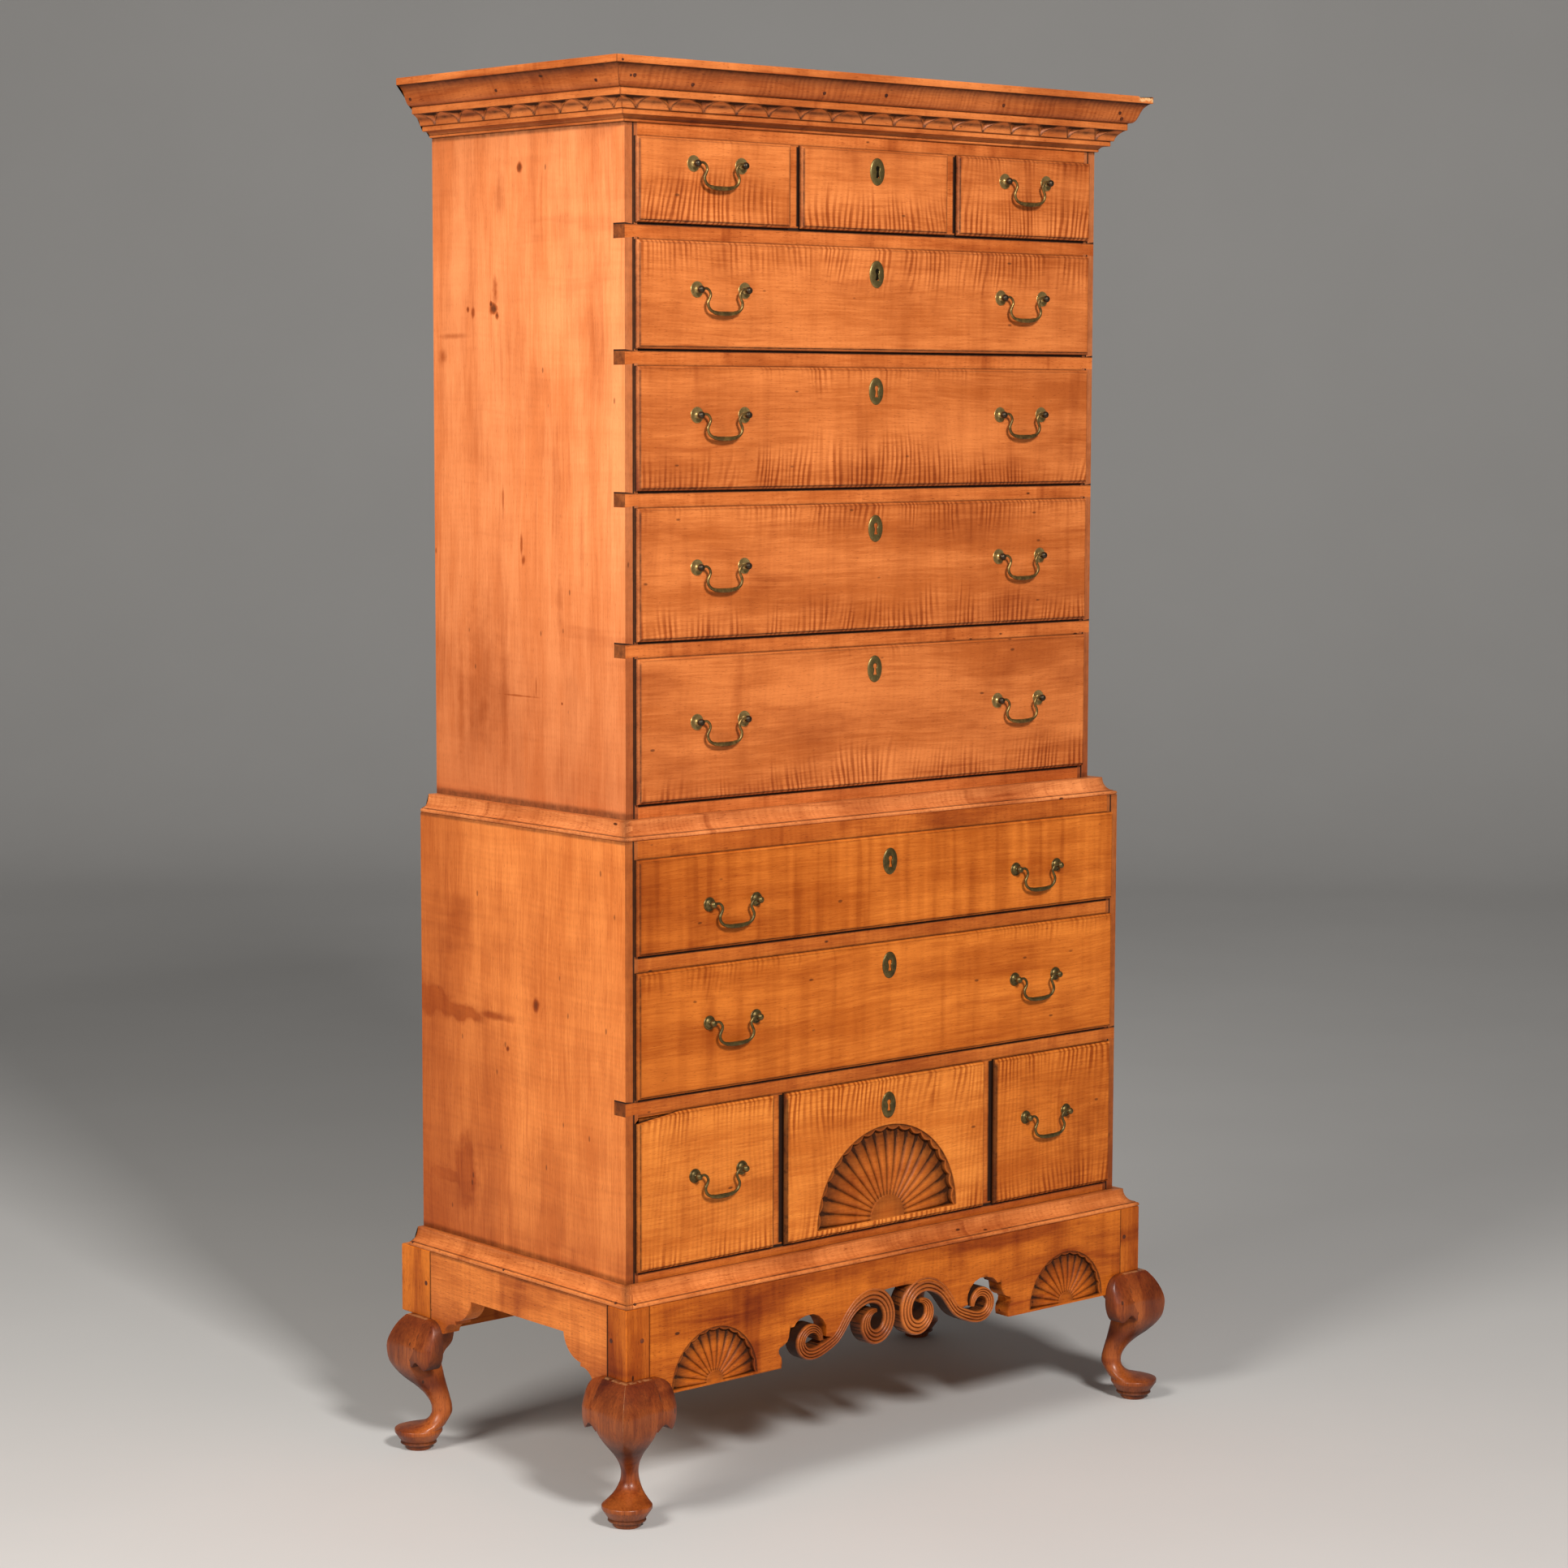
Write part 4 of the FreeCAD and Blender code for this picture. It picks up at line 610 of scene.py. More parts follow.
half_line = np.array(APRON_OUTLINE)
outline = np.concatenate([half_line, half_line[-2::-1] * [-1, 1]])
fans, holes = [], []
for side in (-1, 1):
    fan, dark, rim = carved_fan(side * FAN_X, APRON_FACE, FAN_Z, *APRON_FAN)
    fans.append(patch(fan, "x", 20, 0.05, dark, 0.5))
    holes.append(rim)
front_points, front_faces = flat_face(outline, holes, APRON_FACE, 6.0)
# Dark runs down the board: place, half breadth, strength, lowest point.
RUNS = [
    (-311, 6, 0.4, 190), (-291, 9, 0.55, 168), (-242, 4, 0.3, 250), (-120, 5, 0.35, 262),
    (-6, 3, 0.55, 268), (128, 7, 0.35, 240), (243, 6, 0.4, 225), (428, 8, 0.3, 185), (-442, 6, 0.3, 240),
]
run_stain = np.full(len(front_points), 0.3)
for run_x, breadth, strength, lowest in RUNS:
    fade = slope_from(front_points[:, 2], lowest, 30)
    run_stain += strength * bump_at(front_points[:, 0], run_x, breadth) * fade
back_points, back_faces = flat_face(outline, [], APRON_BACK)
ring = np.concatenate([outline, outline[:1]])
wall = np.stack([np.insert(ring, 1, y, axis=1) for y in (APRON_FACE, APRON_BACK)])
panel = [(patch(front_points[None], "x", 20, 0.12, 0.0, run_stain), front_faces)]
panel.append((patch(back_points[None], "x", 20, 0.1), back_faces))
# Grime and painted shade darken the sawn edges towards the back, and the walls of the piercings nearly to
# black.
pierced = slope_from(np.abs(ring[:, 0]), 236, -4)[None, :]
edge_grime_and_shade = np.array([[0.15], [0.45]]) * (1 - pierced) + np.array([[0.55], [0.95]]) * pierced
edge = patch(wall, "x", 20, 0.1, edge_grime_and_shade, 0.35)
piece(
    "front_apron_carved", fans + [edge], stand_maple,
    nodes=["front_apron"], crease=30, filled=panel,
)

SCROLL_LINE = [
    (-151, 203, 3.4), (-152.5, 210, 4.5), (-156, 216.5, 5.6), (-162, 221, 6.4), (-170, 222.5, 7.2),
    (-179.5, 219.5, 7.6), (-186.5, 212.5, 8), (-188.8, 203, 8.3), (-185, 193.5, 8.6), (-177, 187, 8.8),
    (-166, 184.8, 9), (-154.5, 186.5, 9), (-143, 190.5, 9), (-131.5, 195.3, 8.6), (-121.5, 201, 8.3),
    (-113.5, 209, 8.3), (-106, 219, 8.6), (-98, 229.3, 9), (-89, 238.3, 9.6), (-80.5, 244.3, 10.5),
    (-71, 249, 11.4), (-59, 252.3, 12.2), (-47, 252, 12.6), (-34.5, 247.5, 12.5), (-25, 239.5, 12.3),
    (-19, 229, 12.1), (-17, 217, 12), (-19, 206, 11.9), (-25, 196.5, 11.8), (-34, 190.5, 11.7),
    (-44, 189, 11.4), (-53, 192.5, 10.8), (-59.5, 199, 10), (-63, 206.5, 9.4), (-63, 214.5, 8.6),
    (-60, 221.5, 7.2), (-54.5, 226.5, 5.4), (-48.5, 228.8, 3.8), (-43, 229, 2.6),
]


def scroll_surface(side):
    """A scroll: a reeded section, four round reeds and three grooves in front and flat behind,
    carried along the scroll's line and scaled to its breadth, closed at both eyes."""
    line = smooth_line(SCROLL_LINE, 260)
    line[:, 0] *= side * -1
    middle, half = line[:, :2], line[:, 2:3]
    heading = np.gradient(middle, axis=0)
    heading /= np.linalg.norm(heading, axis=1, keepdims=True)
    beside = np.stack([-heading[:, 1], heading[:, 0]], 1) * side
    across = np.linspace(-1, 1, 45)
    height = np.abs(np.sin((across + 1) * math.pi * 2)) ** 0.6
    profile_u = np.concatenate([across, [1.0, 0.97, -0.97, -1.0, -1.0]])
    front = APRON_FACE - 1.5 + (1 - height) * 3.4 + 2.2 * np.abs(across) ** 6
    rear = APRON_BACK - np.array([3, 2, 2, 3])
    profile_y = np.concatenate([front, rear, front[:1]])
    # Grime and painted shade: dark in the grooves between the reeds, near black on the side walls and behind.
    dark = np.concatenate([(1 - height) ** 1.1 * 0.97, [0.95, 0.9, 0.9, 0.95, 0.6]])
    plan = middle[:, None, :] + beside[:, None, :] * (half * profile_u[None, :])[..., None]
    points = np.stack([plan[..., 0], np.broadcast_to(profile_y, plan.shape[:2]), plan[..., 1]], -1)
    points = with_ends(points)
    return points, np.broadcast_to(dark, points.shape[:2])


for side, flank in FLANKS:
    ribbon, dark = scroll_surface(side)
    wood = patch(ribbon, "x", 21 + side, 0.05, dark, 0.1)
    piece("scroll_" + flank, [wood], scroll_maple, nodes=["front_apron"], crease=40)


# Side and rear aprons. Plain maple boards tenoned into the posts. The side ones are sawn to small
# ogee brackets and keep the solid model's shape; the rear one is a straight, deeper board.


def case_maple(name, turn, light, deep, curl, marks=(), painted_shades=(), lines=(), ends=False, edge=0.0, age=0.8):
    """Maple on a plain board of the case. The grain runs the way the board is turned. Knots and
    stains lie at their own places; painted shades darken it along an axis; lines darken it at a
    level on an axis, some between two heights, as painted shadow under and over mouldings and
    beside drawer lips and as dark joints; board ends show dark end grain; the boards' front
    edges, turned to the front, are darkened as painted shade."""
    material, tree, shader = new_material(name)
    place = add(tree, "TexCoord", give="Object")
    grain = add(tree, "Mapping", {"Vector": place, "Rotation": turn})
    axes = place.axes()
    uneven = place.noise((42, 42, 42), 3, 0.6) - 0.5
    stain = place.noise((3, 3, 1.2), 3, 0.6).ramp(0.5, 0.8) * 0.35
    for spot, size, strength in marks:
        apart = place.vector("SUBTRACT", spot).vector("MULTIPLY", tuple(1 / s for s in size))
        distance = add(tree, "VectorMath", {0: apart}, "Value", operation="LENGTH")
        stain = stain.most((distance + uneven * 1.1).ramp(1.0, 0.1) * strength)
    soil_and_shade = (stain - 1.0).most(0.0) * 0.75
    # Painted shade: darker along an axis, towards the bottom or the back of a board.
    for axis, clear, dark, strength in painted_shades:
        stain = stain + (axes[axis] + uneven * 0.06).ramp(clear, dark) * strength
    # Dark lines: painted shadow under and over mouldings and beside drawer lips, and dark joints.
    for axis, level, reach, strength, *heights in lines:
        line = (axes[axis] - level).maths("ABSOLUTE").ramp(reach, reach * 0.35) * strength
        if heights:
            line = line * axes[2].maths("GREATER_THAN", heights[0]) * axes[2].maths("LESS_THAN", heights[1])
        soil_and_shade = soil_and_shade.most(line)
    facing = add(tree, "NewGeometry", give="Normal").axes()
    if ends:
        soil_and_shade = soil_and_shade.most(facing[0].maths("ABSOLUTE").ramp(0.7, 0.9) * 0.8)
    # Painted shade on faces turned to the front, through both stain and grime.
    front_face_shade = facing[1].ramp(-0.7, -0.9) * edge
    settings = {"Grain": grain, "Light": light, "Deep": deep, "Curl": curl, "Age": age}
    settings.update({"Stain_and_shade": (stain + front_face_shade).least(1.2), "Grime_and_shade": soil_and_shade.most(front_face_shade)})
    finish_wood(tree, shader, settings)
    return material


def dress(node, material):
    """Give a node of the solid model its finish."""
    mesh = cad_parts[node].data
    mesh.materials.clear()
    mesh.materials.append(material)


LEVEL = (0.0, 0.0, 0.0)
UPRIGHT = (0.0, math.radians(90), 0.0)
# Painted shade darkens the side aprons towards the bottom; a painted shadow lies under the base moulding, and
# dark joints at the posts.
apron_maple = case_maple(
    "side apron maple", (0, 0, math.radians(-90)), (0.84, 0.250, 0.046), (0.55, 0.135, 0.019), 0.08, age=1.5,
    painted_shades=[(2, 0.27, 0.18, 0.4)],
    lines=[(2, 0.304, 0.004, 0.6), (1, 0.210, 0.0022, 0.9), (1, -0.210, 0.0024, 0.95)],
)
dress("side_aprons", apron_maple)
REAR_FACES, REAR_FOOT = (255.0, 283.0), 168.0
rear_board = eased_board((-APRON_HALF, APRON_HALF), REAR_FACES, (REAR_FOOT, FRAME_TOP), 0.8, 6.0)
wood = patch(rear_board, "x", 24, 0.06, 0.25, 0.3)
piece("rear_apron_board", [wood], stand_maple, nodes=["rear_apron"])


# Base and waist mouldings. Maple strips run with a bead below and a hollow above, mitred at the
# front corners and nailed on: one frames the lower case on its stand, one the upper case on the
# lower.


def sweep(profile, half, front, back, side_reach, front_reach, spacing):
    """A moulding: a profile of (share of the reach, height) carried from the back along the left
    side, across the front and back along the right side, mitred at the two front corners."""
    profile = np.asarray(profile, float)
    share, height = profile[:, 0][None, :], profile[:, 1][None, :]
    side_steps = max(2, int((back - front) / spacing))
    front_steps = max(2, int(2 * half / spacing))
    t = np.linspace(0, 1, side_steps)[:, None]
    s = np.linspace(0, 1, front_steps)[:, None]
    x_out, y_out = half + share * side_reach, front - share * front_reach
    left = np.stack([-x_out + 0 * t, back + (y_out - back) * t, height + 0 * t], -1)
    across = np.stack([-x_out + 2 * x_out * s, y_out + 0 * s, height + 0 * s], -1)
    right = np.stack([x_out + 0 * t, y_out + (back - y_out) * t, height + 0 * t], -1)
    return left, across, right


def closed(grids):
    """Caps for the two back ends of a moulding."""
    return [np.stack([r, np.broadcast_to(r.mean(0), r.shape)]) for r in (grids[0][0], grids[-1][-1])]


LOWER_HALF, LOWER_FRONT, CASE_BACK = 483.5, -218.5, 263.0
UPPER_HALF, UPPER_FRONT = 454.0, -183.0


def ledge_profile(foot, height, ledge, bead):
    """Share of the reach, height and darkness: a half round bead, a small step, a quarter hollow and
    a flat ledge; painted shade darkens the creases and the back."""
    round_turn = np.linspace(-0.5, 0.5, 9) * math.pi
    bead_part = [(0.93 + 0.07 * math.cos(a), foot + bead / 2 * (1 + math.sin(a)), 0.0) for a in round_turn]
    hollow_turn = np.linspace(0.04, 0.5, 9) * math.pi
    low, high = foot + bead + 1.2, foot + height
    hollow = [
        (0.86 - (0.86 - ledge) * math.sin(a), low + (high - low) * (1 - math.cos(a)), 0.0)
        for a in hollow_turn
    ]
    crease = [(0.90, foot + bead, 0.7), (0.865, foot + bead, 0.85), (0.86, low, 0.5)]
    back = [(ledge * 0.5, high, 0.05), (0.1, high, 0.3), (0, high, 0.9), (0, foot, 0.5)]
    return np.array([(0, foot, 0.5), (0.9, foot, 0.6)] + bead_part + crease + hollow + back)


def moulding_piece(name, node, profile, half, front, side_reach, front_reach, board, wood):
    """Three mitred lengths as one piece; each length has its own grain, and dirt in the mitres."""
    grids = sweep(profile[:, :2], half, front, CASE_BACK, side_reach, front_reach, 12)
    parts = []
    for k, (grid, fibre) in enumerate(zip(grids, "yxy")):
        grime_and_shade = profile[:, 2][None, :] + np.zeros(grid.shape[:2])
        ends = {0: [-1], 1: [0, -1], 2: [0]}[k]
        grime_and_shade[ends] = np.maximum(grime_and_shade[ends], 0.55)
        parts.append(patch(grid, fibre, board + k, 0.16, grime_and_shade, 0.05))
    parts += [patch(cap, "y", board, 0.0, 0.3) for cap in closed(grids)]
    piece(name, parts, wood, nodes=[node], crease=28)


base_maple = worked_maple("base moulding maple", (0.78, 0.250, 0.066), (0.50, 0.132, 0.028), age=1.7)
waist_maple = worked_maple("waist moulding maple", (0.86, 0.305, 0.098), (0.60, 0.175, 0.046), age=1.7)
LOWER_CASE, UPPER_CASE = (LOWER_HALF, LOWER_FRONT), (UPPER_HALF, UPPER_FRONT)
profile = ledge_profile(304.0, 26.5, 0.40, 6.0)
moulding_piece("base_moulding_run", "base_moulding", profile, *LOWER_CASE, 26.0, 33.5, 30, base_maple)
profile = ledge_profile(947.5, 26.0, 0.5, 5.5)
moulding_piece("waist_moulding_run", "waist_moulding", profile, *UPPER_CASE, 29.5, 35.5, 34, waist_maple)


# Cases. Two carcases of wide maple boards: sides with upright grain, drawer rails dovetailed
# into them so that their dark ends show at the sides, and uprights between the small drawers.


def side_marks(half, rows):
    """Knots and stains on a case's sides: left or right, how far back and how high, half breadth
    and half height, and how dark."""
    reach = 0.03
    return [((side * half, y, z), (reach, b, h), dark) for side, y, z, b, h, dark in rows]


knots = side_marks(0.454, [
    (-1, 0.116, 1.678, 0.014, 0.012, 2.2), (-1, 0.112, 1.70, 0.010, 0.03, 1.0),
    (-1, 0.165, 1.672, 0.006, 0.012, 1.2), (-1, 0.0535, 1.874, 0.008, 0.010, 1.8),
    (-1, 0.0484, 1.3235, 0.006, 0.010, 1.2), (1, 0.09, 1.56, 0.014, 0.012, 1.8),
    (1, -0.06, 1.22, 0.010, 0.014, 1.4), (-1, 0.10, 1.84, 0.018, 0.05, 0.45),
    (-1, 0.108, 1.668, 0.006, 0.009, 2.0), (-1, 0.122, 1.684, 0.005, 0.006, 2.2),
    (-1, 0.178, 1.678, 0.004, 0.005, 1.6), (-1, 0.215, 1.640, 0.050, 0.006, 0.6),
    (-1, 0.240, 1.610, 0.016, 0.016, 0.7), (-1, 0.096, 1.405, 0.004, 0.032, 0.8),
    (-1, -0.03, 1.40, 0.014, 0.13, 0.3), (-1, -0.085, 1.36, 0.010, 0.10, 0.28),
    (-1, 0.15, 1.17, 0.05, 0.15, 0.34), (-1, 0.095, 1.13, 0.014, 0.14, 0.36),
    (-1, 0.20, 1.10, 0.012, 0.12, 0.34), (-1, -0.035, 1.27, 0.010, 0.05, 0.4),
    (-1, 0.053, 1.345, 0.004, 0.022, 1.0), (-1, -0.04, 1.125, 0.003, 0.003, 2.0),
    (-1, 0.06, 1.13, 0.06, 0.002, 0.8), (-1, 0.02, 1.145, 0.002, 0.018, 0.8),
])
SIDE_LIGHT, SIDE_DEEP = (0.93, 0.325, 0.118), (0.75, 0.218, 0.064)
UPPER_LIP, LOWER_LIP = 0.4395, 0.469
# Painted shade darkens the upper sides towards the bottom and the back; painted shadow lies under the
# cornice, in the crease above the waist moulding and on the stiles beside the drawer lips.
upper_maple = case_maple(
    "upper side maple", UPRIGHT, SIDE_LIGHT, SIDE_DEEP, 0.03, knots, edge=0.4,
    painted_shades=[(2, 1.45, 0.95, 0.5), (1, -0.05, 0.27, 0.2)],
    lines=[(2, 1.924, 0.008, 0.7), (2, 0.974, 0.012, 0.7)]
    + [(0, x, 0.0028, 0.97) for x in (UPPER_LIP, -UPPER_LIP)],
)
stains = side_marks(0.4835, [
    (-1, 0.245, 0.674, 0.075, 0.030, 0.95), (-1, 0.165, 0.664, 0.085, 0.018, 1.1),
    (-1, 0.08, 0.668, 0.075, 0.009, 0.9), (-1, -0.0146, 0.695, 0.010, 0.014, 1.6),
    (-1, 0.052, 0.625, 0.006, 0.006, 2.0), (-1, 0.155, 0.435, 0.035, 0.075, 0.85),
    (-1, 0.19, 0.418, 0.07, 0.012, 1.0), (-1, 0.165, 0.80, 0.05, 0.05, 0.35),
    (1, -0.1, 0.62, 0.09, 0.03, 0.8),
    (1, 0.1, 0.83, 0.012, 0.014, 1.2),
])
# Painted shade darkens the lower sides towards the bottom and the back; painted shadow lies under the waist
# moulding, in the crease above the base moulding and on the stiles beside the drawer lips.
lower_maple = case_maple(
    "lower side maple", UPRIGHT, (0.88, 0.278, 0.066), (0.64, 0.166, 0.032), 0.06, stains, edge=0.42,
    painted_shades=[(2, 0.58, 0.32, 0.32), (1, 0.02, 0.26, 0.7)],
    lines=[(2, 0.9475, 0.006, 0.6), (2, 0.3305, 0.010, 0.6)]
    + [(0, x, 0.0028, 0.97) for x in (LOWER_LIP, -LOWER_LIP)],
)
ROW_FEET = (1.790, 1.619, 1.425, 1.218, 0.993, 0.788, 0.588, 0.345)
ROW_HEADS = (1.906, 1.767, 1.596, 1.402, 1.195, 0.922, 0.765, 0.565)
# Painted shadow on the rails under the lips at each row's foot, and a fainter one above each row's head.
rail_shadows = [(2, level - 0.0012, 0.0042, 1.0) for level in ROW_FEET]
rail_shadows += [(2, level, 0.0022, 0.6) for level in ROW_HEADS]
# Painted shadow beside the uprights of the top and the lowest row: heights, breadth, near sides and far
# sides.
for heights, breadth, near, far in (
    ((1.793, 1.904), 0.0042, (-0.1428, 0.1612), (-0.1575, 0.1465)),
    ((0.348, 0.563), 0.0070, (-0.2005, 0.2165), (-0.2145, 0.2025)),
):
    rail_shadows += [(0, x, breadth, 1.0, *heights) for x in near]
    rail_shadows += [(0, x, 0.0020, 0.85, *heights) for x in far]
rail_maple, low_rail_maple = [
    case_maple(name, LEVEL, light, deep, 0.1, lines=rail_shadows, ends=True, age=1.4)
    for name, light, deep in (
        ("rail maple", (0.76, 0.220, 0.052), (0.50, 0.115, 0.020)),
        ("low rail maple", (0.72, 0.203, 0.032), (0.45, 0.100, 0.012)),
    )
]
for flank in ("left", "right"):
    dress("upper_side_" + flank, upper_maple)
    dress("lower_side_" + flank, lower_maple)
dress("upper_rails", rail_maple)
dress("lower_rails", low_rail_maple)


# Backs and boards inside. Rough pine planks nailed across the back, and pine tops, dust boards
# and runners, left bare and gone brown with age.


def pine_wood(name, light, deep, aged, joints=(), own_grain=False):
    """Bare pine: rings drawn out along the grain, saw marks across it, dust and stains. Every
    plank between two joints is cut from another place in the log, with a dark gap between."""
    material, tree, shader = new_material(name)
    place = add(tree, "TexCoord", give="Object")
    height = place.axes()[2]
    grain = add(tree, "Attribute", give="Vector", attribute_name="grain") if own_grain else place
    plank = gap = 0.0
    for joint in joints:
        plank = height.maths("GREATER_THAN", joint) + plank
        gap = (height - joint).maths("ABSOLUTE").ramp(0.0024, 0.0010).most(gap)
    if joints:
        grain = grain.vector("ADD", add(tree, "CombineXYZ", {"X": plank * 1.7, "Z": plank * 0.9}))
    rings = (grain.noise((0.7, 6.5, 6.5), 2) * 30.0).maths("PINGPONG", 1.0)
    fibre = grain.noise((7, 240, 240), 4, 0.6)
    bands = grain.noise((1.2, 30, 30), 3, 0.55)
    tone = rings * 0.22 + fibre * 0.4 + bands * 0.38
    age = place.noise((4, 4, 4), 4, 0.65).ramp(0.38, 0.78)
    colour = mix(tree, age * aged, mix(tree, tone.ramp(0.3, 0.68), deep, light), (0.16, 0.080, 0.034))
    if joints:
        colour = mix(tree, gap, colour, (0.02, 0.010, 0.005))
    rough = grain.noise((190, 4, 4), 1) * 0.5 + fibre
    bump = add(tree, "Bump", {"Height": rough, "Strength": 0.5, "Distance": 0.0008})
    feed(shader, {"Base Color": colour, "Roughness": age * 0.15 + 0.72, "Normal": bump})
    return material


PLANK_JOINTS = [0.5185, 0.733, 0.9475, 1.1552, 1.3629, 1.5706, 1.7783]
back_pine = pine_wood("back pine", (0.56, 0.285, 0.105), (0.37, 0.165, 0.054), 0.5, PLANK_JOINTS)
inner_pine = pine_wood("inner pine", (0.62, 0.350, 0.142), (0.46, 0.232, 0.082), 0.4)
drawer_pine = pine_wood("drawer pine", (0.68, 0.405, 0.172), (0.52, 0.275, 0.102), 0.3, own_grain=True)
dress("back_planks", back_pine)
dress("case_boards", inner_pine)


# Cornice. A built-up maple moulding, mitred and nailed: bead and hollow, a fillet, a band carved
# by hand with a running arcade, another fillet, a cyma and a square crown.

CORNICE_REACH = 62.0
BAND_ROWS = 26
ARCADE_PITCH = 59.0


def eased(rows, grime_and_shade, count):
    """A smooth run through the rows, with the same grime all along."""
    line = smooth_line(rows, count)
    return np.concatenate([line, np.full((count, 1), grime_and_shade)], 1)


def cornice_section():
    """The section from the case out and up as rows of projection, height and darkness, which is
    painted shade in the creases and the hollow, under the fillets and the crown, and at the cyma's
    foot and top: a bead and a hollow, a fillet, the band for carving, a fillet, a cyma and the
    crown. Returns it with the numbers of the band's first and last rows."""
    bead = [(0, 1924, 0.9), (2.6, 1924.0, 0.8), (3.6, 1924.2, 0.2), (4.4, 1925.2, 0.0), (4.5, 1926.4, 0.0)]
    bead += [(4.3, 1927.3, 0.3), (3.9, 1927.7, 0.9), (4.6, 1928.0, 0.75)]
    hollow = eased([(5.0, 1928.4), (6.6, 1930.6), (9.4, 1932.0), (12.6, 1932.5)], 0.3, 8)
    fillet = [(14.5, 1932.6, 0.9), (16.5, 1932.7, 0.6), (17, 1933.4, 0.0), (17, 1939.2, 0.0)]
    fillet += [(16.8, 1939.9, 0.4), (18.0, 1940.1, 0.9), (20.4, 1940.3, 0.7)]
    band_line = [(20.8, 1941.0), (22.0, 1945.0), (24.4, 1949.0), (28.4, 1953.0), (32.0, 1955.6)]
    band = eased(band_line, 0.0, BAND_ROWS)
    upper = [(32.8, 1956.2, 0.9), (34.6, 1956.4, 0.5), (35, 1957.2, 0.0), (35, 1965.4, 0.0)]
    upper += [(34.6, 1966.0, 0.3), (35.4, 1966.2, 0.9)]
    shares = [(0.0, 0.02), (0.14, 0.03), (0.29, 0.115), (0.42, 0.29), (0.58, 0.6), (0.71, 0.79)]
    shares += [(0.87, 0.92), (1, 1)]
    cyma = eased([(36.2 + 22.3 * p, 1966.4 + 29.2 * t) for p, t in shares], 0.0, 22)
    # Painted shade: the cyma is dark at its foot and darkens row by row to near black at its top, under the
    # crown.
    cyma[:3, 2] = (0.6, 0.35, 0.15)
    cyma[-11:, 2] = (0.05, 0.1, 0.17, 0.25, 0.34, 0.43, 0.52, 0.62, 0.73, 0.85, 0.97)
    crown = [(60.5, 1995.9, 0.7), (61.7, 1996.1, 0.3), (62, 1996.8, 0.0), (62, 2005, 0.0), (61.2, 2006, 0.0)]
    crown += [(30, 2006, 0.1), (0, 2006, 0.2), (0, 1924, 0.5)]
    rows = [np.array(r, float) for r in (bead, hollow, fillet, band, upper, cyma, crown)]
    start = sum(len(r) for r in rows[:3])
    return np.concatenate(rows), start, start + BAND_ROWS


# Where the crown is torn at its right front corner.
CHIP_START = 484.0
section, band_start, band_end = cornice_section()


def carve(grid, run, outward):
    """Cut the arcade: V-shaped notches a pitch apart, each opening upwards like a trumpet from a
    point at the band's foot. Its two flanks meet in a valley, deeper towards the top. Painted shade
    darkens the band between the notches along its hollow, the notches' edges and valleys, and their
    tops under the fillet; their flanks are a little darker."""
    t = np.linspace(0, 1, BAND_ROWS)[None, :]
    aside = np.abs(np.mod(run / ARCADE_PITCH + 0.5, 1.0)[:, None] - 0.5) * 2
    width = 0.05 + 0.2 * t + 0.56 * t**2.2
    within = np.clip(1 - aside / width, 0, 1)
    cut = (1.2 + 7.5 * t) * within**0.85 * np.clip((1 - t) * 12, 0, 1)
    carved = grid.copy()
    rows = slice(band_start, band_end)
    carved[:, rows] -= cut[..., None] * outward
    # Painted shade: dark lines along the notches' edges and valleys, their tops in shadow under the fillet,
    # and a dark band along the hollow between them.
    edge = bump_at(aside, width, 0.05)
    valley_shade = bump_at(aside, 0, 0.05) * (within > 0)
    dark = np.broadcast_to(section[:, 2], grid.shape[:2]).copy()
    shadow = slope_from(t, 0.72, 0.2) * np.clip(within * 2.5, 0, 1)
    hollow = bump_at(t, 0.52, 0.17) * (0.45 + 0.4 * aside)
    cheeks = np.where(within > 0, 0.22, 0.04 + hollow)
    dark[:, rows] = np.clip(0.9 * edge + 0.4 * valley_shade + 0.9 * shadow + cheeks, 0, 0.97)
    return carved, dark


reaches = section[:, :2] * [1 / CORNICE_REACH, 1]
lengths = sweep(reaches, UPPER_HALF, UPPER_FRONT, CASE_BACK, CORNICE_REACH, CORNICE_REACH, 2.0)
CYMA_FOOT, CYMA_HEAD = 1966.3, 1995.8
on_cyma = (section[:, 1] > CYMA_FOOT) & (section[:, 1] < CYMA_HEAD)
parts = []
# Each length: its axis, which way is out, its fibres, its mitred ends, where its first notch is.
ways = (
    (1, (-1.0, 0, 0), "y", [-1], 18.0),
    (0, (0, -1.0, 0), "x", [0, -1], 24.6),
    (1, (1.0, 0, 0), "y", [0], 18.0),
)
for number, (grid, (axis, outward, fibre, mitres, first)) in enumerate(zip(lengths, ways)):
    along, front = grid[:, band_start, axis], axis == 0
    carved, dark = carve(grid, np.abs(along - along[mitres[0]]) - first, np.array(outward))
    dark[mitres] = np.maximum(dark[mitres], 0.6)
    torn = np.zeros(grid.shape[:2])
    if front:
        x, y, z = np.moveaxis(carved, -1, 0)
        torn = slope_from(x, CHIP_START, 6) * (z > 2000) * (y < -240)
        carved[..., 2] -= torn * (3.0 + 1.5 * np.sin(x * 1.9))
    curl = np.where(on_cyma, 0.34 if front else 0.12, 0.05)[None, :]
    stain = np.where(on_cyma, 0.5, 0.05)[None, :]
    parts.append(patch(carved, fibre, 40 + number, curl, dark, stain, wear=torn * 2))
parts += [patch(cap, "y", 40, 0.0, 0.3) for cap in closed(lengths)]
piece("cornice_carved", parts, aged_maple, nodes=["cornice"], crease=30)


# Drawers. Each has a figured maple front with a thumbnail edge and a lip over the case, pine
# sides dovetailed into it, a pine back and a pine bottom. The lowest middle one has a carved fan.

